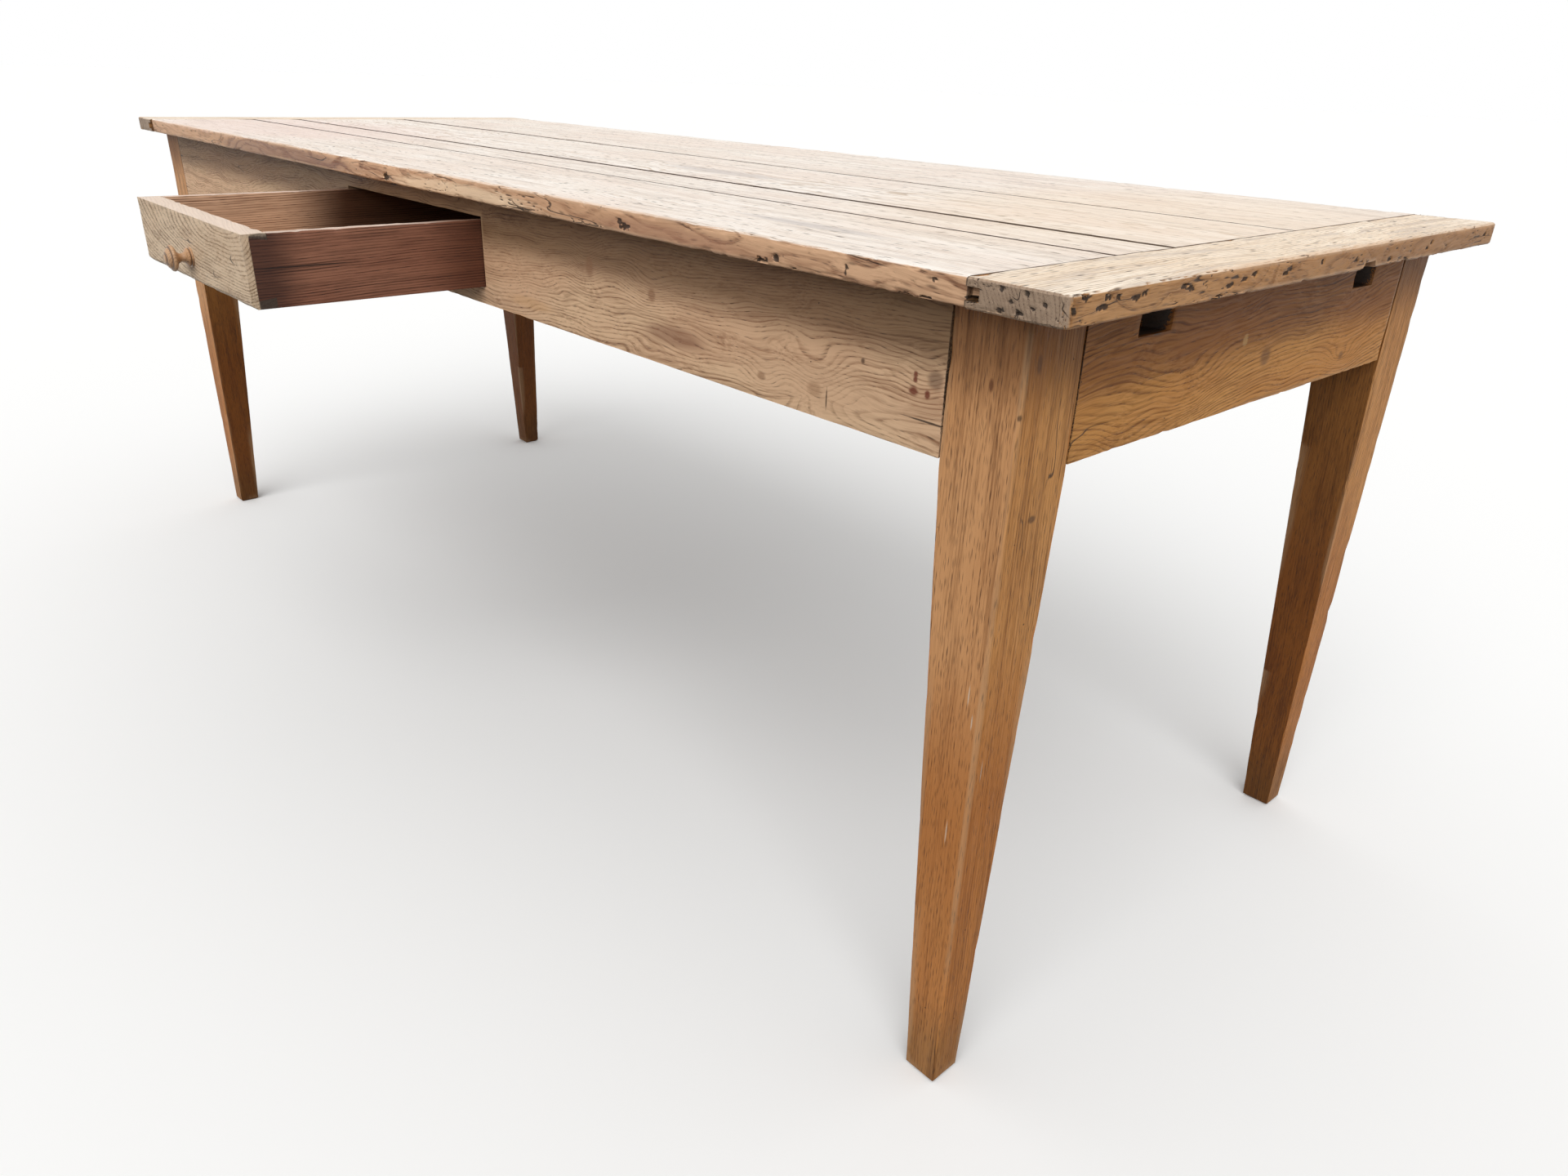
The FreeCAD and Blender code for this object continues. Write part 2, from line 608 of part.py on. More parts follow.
def make_drawer_floor():
    floor = new_piece("drawer_floor", drawer_place("0", "floor_rise"))
    length = "drawer_depth - floor_front"
    add_block(floor, "board", ("-floor_half", "floor_front", "0"),
              ("2 * floor_half", length, "floor_thickness"))
    for number in NAIL_ROW:
        drill(floor, f"nail_hole{number + 1}", "XY", (f"{number} * nail_spacing",
              "drawer_depth - back_thickness / 2", "0"), "nail_hole", "floor_thickness")
    return floor


def make_knob():
    """A turned knob: flared base, waist, and a head with a stepped ring, on a spigot through the front."""
    place = drawer_place("0", "drawer_height / 2 - knob_drop")
    knob = new_piece("drawer_knob", place)
    upright = FreeCAD.Rotation(FreeCAD.Vector(1, 0, 0), QUARTER_TURN)
    knob.Placement = FreeCAD.Placement(knob.Placement.Base, upright)
    base = "knob_base_diameter / 2"
    waist = "knob_waist_diameter / 2"
    head = "knob_head_diameter / 2"
    ring = f"{head} - knob_ring_step"
    rim_top = "knob_head_place + knob_ring_step"
    step_top = f"{rim_top} + knob_ring_step / 2"
    crown = f"{ring} - knob_ring_step"
    spots = [("0", "-front_thickness"), ("knob_spigot_diameter / 2", "-front_thickness"),
             ("knob_spigot_diameter / 2", "0"), (base, "0"), (base, "knob_base_edge"),
             (waist, "knob_waist_place"), (head, "knob_head_place"), (head, rim_top), (ring, rim_top),
             (ring, step_top), (crown, "knob_length"), ("0", "knob_length")]
    sketch = new_sketch(knob, "profile", "XZ", ("0", "0", "0"))
    draw_outline(sketch, spots)
    turned = knob.newObject("PartDesign::Revolution", "drawer_knob_turned")
    turned.Profile = sketch
    turned.ReferenceAxis = (sketch, ["V_Axis"])
    turned.Angle = FULL_TURN
    for name, diameter, ease in (("waist", "knob_waist_diameter", "knob_waist_ease"),
                                 ("rim", "knob_head_diameter", "knob_rim_ease")):
        dress(knob, name, "Chamfer", ease, lambda e, d=diameter: is_ring(e, size_of(d)))
    top = ends_of(knob, Z)[1]
    dress(knob, "crown", "Chamfer", "knob_crown_ease", lambda e: lies_at(e, Z, top))


def make_button(label, place, turn):
    """A block whose tongue hooks under the slot in a rail while its screw pulls the top down."""
    button = new_piece(label, place, turn)
    body_y = "button_shoulder_gap"
    add_block(button, "block", ("-button_width / 2", body_y, "-button_thickness"),
              ("button_width", "button_length", "button_thickness"))
    add_block(button, "tongue", ("-button_width / 2", "-button_tongue_reach", "-button_thickness"),
              ("button_width", f"button_tongue_reach + {body_y}", "button_tongue_thickness"))
    centre = ("0", "button_screw_place", "-button_thickness")
    drill(button, "screw_hole", "XY", centre, "screw_hole", "button_thickness")
    drill(button, "screw_seat", "XY", centre, "screw_head_diameter + screw_clearance", "screw_head_height")
    return button


def button_places():
    """Each button's label, its place on a rail's inner face and its turn."""
    inner_x = "(leg_face_x - rail_thickness)"
    return [
        ("top_button_front_left", ("-button_place", "-rail_inner_y"), 0),
        ("top_button_front_right", ("button_place", "-rail_inner_y"), 0),
        ("top_button_back_right", ("button_place", "rail_inner_y"), HALF_TURN),
        ("top_button_back_left", ("-button_place", "rail_inner_y"), HALF_TURN),
        ("top_button_end_right", (inner_x, "0"), QUARTER_TURN),
        ("top_button_end_left", (f"-{inner_x}", "0"), -QUARTER_TURN),
    ]


def make_group(label, solids):
    """Like fasteners in one piece, as separate solids."""
    group = doc.addObject("Part::Feature", label)
    group.Label = label
    group.Shape = Part.makeCompound(solids)
    group.Placement = FreeCAD.Placement()
    pieces.append(group)


def fastener(shank, shank_length, head, head_height):
    """A plain shank standing on its head, whose underside is at z = 0."""
    spots = [(0, 0), (head / 2, 0), (head / 2, head_height), (shank / 2, head_height),
             (shank / 2, head_height + shank_length), (0, head_height + shank_length)]
    wire = Part.makePolygon([FreeCAD.Vector(r, 0, z) for r, z in spots + spots[:1]])
    return Part.Face(wire).revolve(FreeCAD.Vector(), FreeCAD.Vector(0, 0, 1), FULL_TURN)


def make_buttons_and_screws():
    buttons = [
        make_button(label, (x, y, "-top_thickness"), turn) for label, (x, y), turn in button_places()
    ]
    doc.recompute()
    thickness, head = size_of("button_thickness"), size_of("screw_head_height")
    seat = FreeCAD.Vector(0, size_of("button_shoulder_gap") + size_of("button_length") / 2, -thickness)
    length = thickness - head + size_of("screw_bite")
    screws = []
    for button in buttons:
        screw = fastener(size_of("screw_diameter"), length, size_of("screw_head_diameter"), head)
        screw.translate(button.Placement.multVec(seat))
        screws.append(screw)
    make_group("top_button_screws", screws)


def make_drawer_nails(floor):
    doc.recompute()
    head = size_of("nail_head_height")
    length = size_of("floor_thickness") + size_of("nail_bite")
    row_y = size_of("drawer_depth") - size_of("back_thickness") / 2
    nails = []
    for number in NAIL_ROW:
        nail = fastener(size_of("nail_diameter"), length, size_of("nail_head_diameter"), head)
        spot = FreeCAD.Vector(number * size_of("nail_spacing"), row_y, -head)
        nail.translate(floor.Placement.multVec(spot))
        nails.append(nail)
    make_group("drawer_floor_nails", nails)


def write_pieces():
    doc.recompute()
    failed = [item.Name for item in doc.Objects if {"Invalid", "Error"} & set(item.State)]
    failed += [p.Label for p in pieces if p.Shape.isNull() or not p.Shape.isValid()]
    if failed:
        raise RuntimeError("failed: " + ", ".join(failed))
    os.makedirs("parts", exist_ok=True)
    for piece in pieces:
        piece.Shape.exportStep(os.path.join("parts", piece.Label + ".step"))
        print(piece.Label, len(piece.Shape.Solids), round(piece.Shape.Volume))


make_planks()
make_breadboard("breadboard_left", -1, False)
make_breadboard("breadboard_right", 1, True)
make_legs()
make_rails()
make_drawer_ways()
make_drawer_front()
make_drawer_side("drawer_side_left", -1)
make_drawer_side("drawer_side_right", 1)
make_drawer_back()
make_drawer_nails(make_drawer_floor())
make_knob()
make_buttons_and_screws()
write_pieces()
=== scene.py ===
"""Looks of a long oak farmhouse table: pale plank top, worn tapered frame and a drawer drawn out."""
import json
import math

import bmesh
import bpy
from mathutils import Matrix, Vector, noise

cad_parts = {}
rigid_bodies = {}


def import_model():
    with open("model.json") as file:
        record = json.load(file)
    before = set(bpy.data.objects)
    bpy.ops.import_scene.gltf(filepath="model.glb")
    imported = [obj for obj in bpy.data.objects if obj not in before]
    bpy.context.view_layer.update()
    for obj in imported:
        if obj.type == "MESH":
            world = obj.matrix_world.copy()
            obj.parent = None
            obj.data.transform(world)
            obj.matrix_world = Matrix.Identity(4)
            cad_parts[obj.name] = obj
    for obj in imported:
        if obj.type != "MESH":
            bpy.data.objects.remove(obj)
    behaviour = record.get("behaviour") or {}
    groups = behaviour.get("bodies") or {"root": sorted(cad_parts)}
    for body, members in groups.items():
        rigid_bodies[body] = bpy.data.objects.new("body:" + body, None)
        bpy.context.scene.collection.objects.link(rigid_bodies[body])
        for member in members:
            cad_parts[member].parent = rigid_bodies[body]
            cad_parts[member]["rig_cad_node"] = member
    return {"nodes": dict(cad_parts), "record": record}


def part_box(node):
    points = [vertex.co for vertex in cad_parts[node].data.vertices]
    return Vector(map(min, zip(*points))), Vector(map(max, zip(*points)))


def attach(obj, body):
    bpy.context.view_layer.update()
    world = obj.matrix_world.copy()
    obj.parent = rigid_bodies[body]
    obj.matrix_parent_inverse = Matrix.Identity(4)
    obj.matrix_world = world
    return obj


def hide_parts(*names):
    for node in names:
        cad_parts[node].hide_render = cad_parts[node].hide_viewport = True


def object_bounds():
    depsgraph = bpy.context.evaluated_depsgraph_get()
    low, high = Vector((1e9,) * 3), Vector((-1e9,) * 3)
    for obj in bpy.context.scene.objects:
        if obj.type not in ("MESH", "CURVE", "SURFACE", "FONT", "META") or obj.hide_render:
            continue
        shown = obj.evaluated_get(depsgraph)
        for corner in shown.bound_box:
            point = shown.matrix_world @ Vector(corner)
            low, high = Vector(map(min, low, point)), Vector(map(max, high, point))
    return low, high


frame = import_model()
cad_low, cad_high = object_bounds()

MM = 0.001
X, Y, Z = range(3)
MERGE = 1e-6
FLAT_ANGLE = math.radians(1)
SHARP_ANGLE = math.radians(25)
SMOOTH_ANGLE = math.radians(40)
LEG_WIDTH = 68 * MM
FOOT_WIDTH = 34 * MM
TAPER_DROP = 130 * MM
RAIL_THICKNESS = 26 * MM
NOTCH_WIDTH = 47 * MM
NOTCH_FLOOR = -56.5 * MM
NOTCH_TAPER = 9 * MM

# Places in millimetres: the top's front edge and outer end, the frame's faces, the rails' shoulders, middle
# and notches, the drawer front's lap, a side's middle from the drawer's, and where it goes under the top
FRONT_EDGE, OUTER_END = -392, 1045
FRAME_FRONT, FRAME_END = -363, 998
SHOULDER_X, SHOULDER_Y = 930, 295
RAIL_MIDDLE = -83
NOTCH_PLACE = 196.5
LAP_PLACE = -620
SIDE_MIDDLE = 181
UNDER_TOP = (-470, -370)

# Strip of small faces beside an edge, reach and depth of the planks' cupping, how far wear may have moved
# a vertex, and the depth at which a pit is dark
EDGE_STRIP = 6 * MM
CUP_REACH = 45 * MM
CUP_SKIN = 3 * MM
WORN_REACH = 2 * MM
DARK_PIT = 1.0 * MM
# Rubbing, dents and nicks: how much finer than the patch, the noise they start from and their share
WEAR_SIZES = ((1, -0.3, 0.35), (3.3, 0.25, 1.3), (9, 0.35, 1.2))
# Worm runs and their patches, and the ragged rim of a pit
WORM_WIDTH, WORM_LENGTH, WORM_PATCH = 3.6 * MM, 42 * MM, 70 * MM
PIT_GRAIN = 2.6 * MM
# How far edges are rounded: on the top, its joints and plank ends, the frame, legs and drawer front
TOP_EASE, JOINT_EASE, END_EASE = 0.7 * MM, 0.5 * MM, 0.6 * MM
FRAME_EASE, LEG_EASE, DRAWER_EASE = 0.9 * MM, 1.0 * MM, 1.2 * MM
# Reach of the edges that the CAD has broken: on the top and legs, the feet and the drawer front
BROKEN_EDGE, BROKEN_FOOT, BROKEN_FRONT = 1.7 * MM, 3.1 * MM, 5.1 * MM

TABLE, DRAWER = "table", "drawer"


# Shaping

def start_piece(node):
    """A copy of a CAD node in edit mode, its triangles merged back into flat faces."""
    bpy.ops.object.select_all(action="DESELECT")
    source = frame["nodes"][node]
    source.select_set(True)
    bpy.context.view_layer.objects.active = source
    bpy.ops.object.duplicate()
    piece = bpy.context.active_object
    piece.name = node + "_worn"
    del piece["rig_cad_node"]
    bpy.ops.object.parent_clear(type="CLEAR_KEEP_TRANSFORM")
    piece.data.materials.clear()
    bpy.ops.object.mode_set(mode="EDIT")
    bpy.ops.mesh.select_mode(type="EDGE")
    bpy.ops.mesh.select_all(action="SELECT")
    bpy.ops.mesh.customdata_custom_splitnormals_clear()
    bpy.ops.mesh.remove_doubles(threshold=MERGE)
    bpy.ops.mesh.dissolve_limited(angle_limit=FLAT_ANGLE)
    return piece


def spread(low, high, step):
    """Even places between two limits, about a step apart."""
    count = max(1, round((high - low) / step))
    return [low + (high - low) * n / count for n in range(1, count)]


def slice_piece(axis, places):
    """Cut the faces across an axis at each place, so that they can take wear."""
    normal = Vector()
    normal[axis] = 1
    for place in places:
        bpy.ops.mesh.select_all(action="SELECT")
        bpy.ops.mesh.bisect(plane_co=normal * place, plane_no=normal)


def ease_edges(piece, wanted, width, worn=1.0, segments=2):
    """Round off the sharp edges that answer the test, and mark how far they are worn."""
    bpy.ops.mesh.select_all(action="DESELECT")
    mesh = bmesh.from_edit_mesh(piece.data)
    for edge in mesh.edges:
        if edge.is_manifold and edge.calc_face_angle() > SHARP_ANGLE:
            edge.select_set(all(wanted(vert.co) for vert in edge.verts))
    bmesh.update_edit_mesh(piece.data)
    bpy.ops.mesh.bevel(offset=width, segments=segments, affect="EDGES", clamp_overlap=True)
    mesh = bmesh.from_edit_mesh(piece.data)
    layer = mesh.verts.layers.float.get("wear") or mesh.verts.layers.float.new("wear")
    for vert in mesh.verts:
        if vert.select:
            vert[layer] = worn
    bmesh.update_edit_mesh(piece.data)


def weather(piece, depth, patch, seed):
    """Rub and dent the eased edges inwards, by up to a depth, in patches of about a length."""
    bpy.ops.object.mode_set(mode="OBJECT")
    mesh = piece.data
    marks = [mark.value for mark in mesh.attributes["wear"].data]
    normals = [vertex.normal.copy() for vertex in mesh.vertices]
    for vertex, normal, mark in zip(mesh.vertices, normals, marks):
        if not mark:
            continue
        spot = vertex.co / patch + Vector((seed, -seed, 2 * seed))
        wear = sum(share * max(0, noise.noise(spot * scale) - start) for scale, start, share in WEAR_SIZES)
        vertex.co -= normal * depth * mark * wear


def cup(piece, edge, drops):
    """Let the upper face fall towards a plank's back edge, as planks cup, so that the next stands above it.

    drops are how far it falls at the far end, in the middle and at the near end, in millimetres.
    """
    far, middle, close = drops
    for vertex in piece.data.vertices:
        part = min(1, (vertex.co.y - edge + CUP_REACH) / CUP_REACH)
        if part > 0 and vertex.co.z > -CUP_SKIN:
            along = vertex.co.x / cad_high.x
            drop = middle + ((far if along < 0 else close) - middle) * abs(along)
            vertex.co.z -= drop * MM * part ** 2


def narrow_notches(piece, face):
    """Draw the notches' walls together towards the inside of a rail, as in notches sawn by hand."""
    for vertex in piece.data.vertices:
        for place in (-NOTCH_PLACE * MM, NOTCH_PLACE * MM):
            away = vertex.co.y - place
            if close_to(abs(away), NOTCH_WIDTH / 2, WORN_REACH) and vertex.co.z > NOTCH_FLOOR:
                inward = min(1, abs(vertex.co.x - face) / RAIL_THICKNESS)
                vertex.co.y -= math.copysign(NOTCH_TAPER * inward, away)


def finer(piece, chosen, cuts=3):
    """Divide the faces that answer the test, so that they can take small pits."""
    bpy.ops.mesh.select_all(action="DESELECT")
    bpy.ops.mesh.select_mode(type="FACE")
    mesh = bmesh.from_edit_mesh(piece.data)
    for face in mesh.faces:
        face.select_set(chosen(face.calc_center_median(), face.normal))
    bmesh.update_edit_mesh(piece.data)
    bpy.ops.mesh.subdivide(number_cuts=cuts)


def sink(piece, node, dip):
    """Sink the surface by what dip gives for a place and its normal, in the node's box, and mark the pits."""
    low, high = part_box(node)
    mesh = piece.data
    marks = mesh.attributes.new("pit", "FLOAT", "POINT")
    normals = [vertex.normal.copy() for vertex in mesh.vertices]
    for vertex, normal, mark in zip(mesh.vertices, normals, marks.data):
        depth = dip(vertex.co, normal)
        sunk = vertex.co - normal * depth
        vertex.co = [min(max(part, least), most) for part, least, most in zip(sunk, low, high)]
        mark.value = min(1, depth / DARK_PIT)


def worm_run(spot, along, seed):
    """How deep the worm has eaten at a spot, from 0 to 1: thin runs along the grain, in patches."""
    pace = Vector((1, 1, 1)) / WORM_WIDTH
    pace[along] = 1 / WORM_LENGTH
    thin = max(0, 1 - abs(noise.noise(spot * pace + Vector((seed, 0, 0)))) / 0.08)
    patch = noise.noise(spot / WORM_PATCH + Vector((0, seed, 0)))
    return thin * min(1, max(0, 4 * patch + 0.4))


def pit_depth(spot, pits):
    """Depth of the deepest pit at a spot; each pit is its place, reach and depth in millimetres."""
    depth = 0
    for place, reach, deep in pits:
        away = Vector([(s / MM - p) / r for s, p, r in zip(spot, place, reach)])
        if away.length_squared < 2:
            ragged = 1 - away.length_squared + 1.3 * noise.noise(spot / PIT_GRAIN)
            depth = max(depth, deep * min(1, 1.4 * max(0, ragged)))
    return depth * MM


def finish_piece(piece, node, body, material):
    """Shade the piece, give it its wood and let it stand for its CAD node."""
    bpy.ops.object.shade_smooth_by_angle(angle=SMOOTH_ANGLE)
    piece.data.materials.append(material)
    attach(piece, body)
    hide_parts(node)


def worn_board(node, body, material, slices, eases, depth, patch, seed, fine=None, dip=None, warp=None):
    """A board cut into strips, its edges eased and weathered, its shape warped and its faces pitted.

    slices are the places of the cuts and eases the edges to ease. Wear goes to a depth, in patches of
    about a length that seed sets. fine chooses the faces that dip sinks, and warp moves the shape.
    """
    piece = start_piece(node)
    for axis, places in slices.items():
        slice_piece(axis, places)
    for ease in eases:
        ease_edges(piece, *ease)
    if fine:
        finer(piece, fine)
    weather(piece, depth, patch, seed)
    if warp:
        warp(piece)
    if dip:
        sink(piece, node, dip)
    finish_piece(piece, node, body, material)


def close_to(value, level, reach=0.05 * MM):
    """Whether a value lies within a reach of a level."""
    return abs(value - level) < reach


# Materials

def linear(colour):
    """The linear colour of an sRGB hex value."""
    parts = [int(colour[n:n + 2], 16) / 255 for n in (1, 3, 5)]
    return [c / 12.92 if c <= 0.04045 else ((c + 0.055) / 1.055) ** 2.4 for c in parts] + [1]


def add(tree, kind, links=(), **settings):
    """One node with its settings; links gives its inputs as values or as other nodes' outputs."""
    node = tree.nodes.new("ShaderNode" + kind)
    for name, value in settings.items():
        setattr(node, name, value)
    for key, value in dict(links).items():
        if isinstance(value, bpy.types.NodeSocket):
            tree.links.new(value, node.inputs[key])
        else:
            node.inputs[key].default_value = value
    return node.outputs


def start_material(name):
    """A material whose node tree is empty, and that tree."""
    material = bpy.data.materials.new(name)
    material.use_nodes = True
    material.node_tree.nodes.clear()
    return material, material.node_tree


# Turns that lay the grain along the first axis of the pattern
GRAIN_TURN = {X: (0, 0, 0), Y: (0, 0, -math.pi / 2), Z: (0, math.pi / 2, 0)}
# Sizes of the wood's patterns in millimetres, along the grain and the two ways across it
SWAY_SIZE, BLOTCH_SIZE, SPLIT_SIZE = (320, 110, 110), (240, 90, 90), (260, 32, 32)
STREAK_SIZE, FIBRE_SIZE, FLECK_SIZE = (200, 11, 11), (60, 1.5, 1.5), (24, 5, 5)
# Pores are 0.3 mm wide in oak and are drawn 1 mm wide, so that they show
PORE_SIZE = (15, 1.3, 1.3)
# Makes a map range ease in and out
SMOOTH = {"interpolation_type": "SMOOTHSTEP"}


def grain_figure(tree, along, log, tilt=(0, 0), ring=3.4, sway=14, knots=(), worm_cell=24, worm_size=0.9,
                 rare=0.62, bands=1.6, lines=0.6, scatter=0.06):
    """Oak as it grew: yearly rings round a pith, open pores, fibres, knots, splits and worm holes.

    Lengths are millimetres. log moves the board in the tree and tilt slopes its grain, which draws
    the arches of a board sawn flat. Each knot is a place on the table, its reach and its rings.
    rare says how seldom the wood has split, bands and lines how far broad streaks and rings show, and
    scatter how far pores show between the rings.
    """
    place = add(tree, "TexCoord")["Object"]
    spot = add(tree, "VectorMath", {0: place, 1: (1 / MM, 1 / MM, 1 / MM)}, operation="MULTIPLY")[0]
    board = add(tree, "Mapping", {"Vector": spot, "Rotation": GRAIN_TURN[along]})[0]
    grown = add(tree, "Mapping", {"Vector": board, "Location": log, "Rotation": (0, *tilt)})[0]
    pace = add(tree, "VectorMath", {0: grown, 1: [1 / s for s in SWAY_SIZE]}, operation="MULTIPLY")[0]
    drift = add(tree, "TexNoise", {"Vector": pace, "Scale": 1, "Detail": 3, "Roughness": 0.5})["Color"]
    swayed = add(tree, "VectorMath", {0: drift, 1: (0, 4 * sway, 4 * sway), 2: grown},
                 operation="MULTIPLY_ADD")[0]
    across = add(tree, "VectorMath", {0: swayed, 1: (0, 1, 1)}, operation="MULTIPLY")[0]
    radius = add(tree, "VectorMath", {0: across}, operation="LENGTH")["Value"]
    for knot, reach, rings in knots:
        wander = add(tree, "VectorMath", {0: drift, 1: (60, 60, 60), 2: spot}, operation="MULTIPLY_ADD")[0]
        away = add(tree, "VectorMath", {0: wander, 1: [k + 30 for k in knot]}, operation="SUBTRACT")[0]
        scaled = add(tree, "VectorMath", {0: away, 1: [1 / r for r in reach]}, operation="MULTIPLY")[0]
        square = add(tree, "VectorMath", {0: scaled, 1: scaled}, operation="DOT_PRODUCT")["Value"]
        power = add(tree, "Math", {0: square, 1: -1}, operation="MULTIPLY")[0]
        fall = add(tree, "Math", {0: math.e, 1: power}, operation="POWER")[0]
        radius = add(tree, "Math", {0: fall, 1: rings * ring, 2: radius}, operation="MULTIPLY_ADD")[0]
    years = add(tree, "Math", {0: radius, 1: ring}, operation="DIVIDE")[0]
    phase = add(tree, "Math", {0: years}, operation="FRACT")[0]
    year = add(tree, "Math", {0: years}, operation="FLOOR")[0]
    luck = add(tree, "TexWhiteNoise", {"W": year}, noise_dimensions="1D")["Value"]
    fade = add(tree, "MapRange", {0: phase, 1: 0.05, 2: 0.45, 3: 1, 4: 0}, **SMOOTH)[0]
    rise = add(tree, "MapRange", {0: phase, 1: 0.88, 2: 1.0, 3: 0, 4: 1}, **SMOOTH)[0]
    band = add(tree, "Math", {0: fade, 1: rise}, operation="MAXIMUM")[0]
    weight = add(tree, "MapRange", {0: luck, 3: 0.35, 4: 1})[0]
    early = add(tree, "Math", {0: band, 1: weight}, operation="MULTIPLY")[0]
    pace = add(tree, "VectorMath", {0: swayed, 1: [1 / s for s in PORE_SIZE]}, operation="MULTIPLY")[0]
    dash = add(tree, "TexVoronoi", {"Vector": pace, "Scale": 1})["Distance"]
    dash = add(tree, "MapRange", {0: dash, 1: 0.12, 2: 0.42, 3: 1, 4: 0}, **SMOOTH)[0]
    bed = add(tree, "MapRange", {0: early, 3: scatter, 4: 1})[0]
    pore = add(tree, "Math", {0: dash, 1: bed}, operation="MULTIPLY")[0]
    pace = add(tree, "VectorMath", {0: swayed, 1: [1 / s for s in FIBRE_SIZE]}, operation="MULTIPLY")[0]
    fibre = add(tree, "TexNoise", {"Vector": pace, "Scale": 1, "Detail": 4, "Roughness": 0.6})["Fac"]
    pace = add(tree, "VectorMath", {0: swayed, 1: [1 / s for s in STREAK_SIZE]}, operation="MULTIPLY")[0]
    streak = add(tree, "TexNoise", {"Vector": pace, "Scale": 1, "Detail": 3})["Fac"]
    pace = add(tree, "VectorMath", {0: grown, 1: [1 / s for s in BLOTCH_SIZE]}, operation="MULTIPLY")[0]
    blotch = add(tree, "TexNoise", {"Vector": pace, "Scale": 1, "Detail": 3})["Fac"]
    blotch = add(tree, "MapRange", {0: blotch, 1: 0.36, 2: 0.66}, **SMOOTH)[0]
    shade = add(tree, "Math", {0: early, 1: lines, 2: 0.1}, operation="MULTIPLY_ADD")[0]
    for layer, share in ((fibre, 1.8), (streak, bands)):
        lift = add(tree, "Math", {0: layer, 1: 0.5}, operation="SUBTRACT")[0]
        shade = add(tree, "Math", {0: lift, 1: share, 2: shade}, operation="MULTIPLY_ADD")[0]
    cell = add(tree, "TexVoronoi", {"Vector": spot, "Scale": 1 / worm_cell})
    rim = worm_size / worm_cell
    hole = add(tree, "MapRange", {0: cell["Distance"], 1: 0.6 * rim, 2: rim, 3: 1, 4: 0})[0]
    chance = add(tree, "SeparateColor", {0: cell["Color"]})[0]
    chosen = add(tree, "Math", {0: chance, 1: 0.45}, operation="GREATER_THAN")[0]
    worm = add(tree, "Math", {0: hole, 1: chosen}, operation="MULTIPLY")[0]
    pace = add(tree, "VectorMath", {0: grown, 1: [1 / s for s in SPLIT_SIZE]}, operation="MULTIPLY")[0]
    rift = add(tree, "TexNoise", {"Vector": pace, "Scale": 1, "Detail": 2, "Distortion": 0.3})
    line = add(tree, "Math", {0: rift["Fac"], 1: 0.5}, operation="SUBTRACT")[0]
    line = add(tree, "Math", {0: line}, operation="ABSOLUTE")[0]
    line = add(tree, "MapRange", {0: line, 1: 0.002, 2: 0.006, 3: 1, 4: 0})[0]
    stretch = add(tree, "SeparateColor", {0: rift["Color"]})[2]
    stretch = add(tree, "MapRange", {0: stretch, 1: rare, 2: rare + 0.04})[0]
    split = add(tree, "Math", {0: line, 1: stretch}, operation="MULTIPLY")[0]
    return {"spot": spot, "swayed": swayed, "early": early, "pore": pore, "fibre": fibre, "streak": streak,
            "blotch": blotch, "shade": shade, "worm": worm, "split": split}


def tone(tree, figure, pale, deep, tint, pore):
    """The figure's colours: pale wood to deep, tinted in blotches, with dark pores."""
    colour = add(tree, "Mix", {0: figure["shade"], 6: linear(pale), 7: linear(deep)}, data_type="RGBA")[2]
    colour = stain(tree, colour, tint, figure["blotch"], 0.4)
    return stain(tree, colour, pore, figure["pore"], 0.85)


def stain(tree, wood, colour, mask, share=1.0, blend="MIX"):
    """A stain laid on the wood by a mask; blend MULTIPLY lets the grain show through it."""
    amount = add(tree, "Math", {0: mask, 1: share}, operation="MULTIPLY")[0]
    above = colour if isinstance(colour, bpy.types.NodeSocket) else linear(colour)
    below = wood if isinstance(wood, bpy.types.NodeSocket) else linear(wood)
    return add(tree, "Mix", {0: amount, 6: below, 7: above}, data_type="RGBA", blend_type=blend)[2]


def near(tree, figure, place, reach, core=0.4):
    """A soft spot round a place of the table, in millimetres, ragged along the fibres."""
    away = add(tree, "VectorMath", {0: figure["spot"], 1: place}, operation="SUBTRACT")[0]
    scaled = add(tree, "VectorMath", {0: away, 1: [1 / r for r in reach]}, operation="MULTIPLY")[0]
    length = add(tree, "VectorMath", {0: scaled}, operation="LENGTH")["Value"]
    ragged = add(tree, "Math", {0: figure["fibre"], 1: 0.9, 2: length}, operation="MULTIPLY_ADD")[0]
    return add(tree, "MapRange", {0: ragged, 1: core + 0.45, 2: 1.45, 3: 1, 4: 0}, **SMOOTH)[0]


def ramp(tree, figure, axis, none, full):
    """How far a place lies from one level of an axis to another, in millimetres."""
    part = add(tree, "SeparateXYZ", {0: figure["spot"]})[axis]
    return add(tree, "MapRange", {0: part, 1: none, 2: full}, **SMOOTH)[0]


def seam(tree, figure, axis, place, width):
    """A straight dirty line across an axis at a place, dark for a width to either side, in millimetres."""
    part = add(tree, "SeparateXYZ", {0: figure["spot"]})[axis]
    away = add(tree, "Math", {0: part, 1: place}, operation="SUBTRACT")[0]
    away = add(tree, "Math", {0: away}, operation="ABSOLUTE")[0]
    return add(tree, "MapRange", {0: away, 1: 0.8 * width, 2: width, 3: 1, 4: 0})[0]


def facing(tree, axis, low, high):
    """How far a face looks along an axis."""
    normal = add(tree, "NewGeometry")["Normal"]
    part = add(tree, "SeparateXYZ", {0: normal})[axis]
    return add(tree, "MapRange", {0: part, 1: low, 2: high}, **SMOOTH)[0]


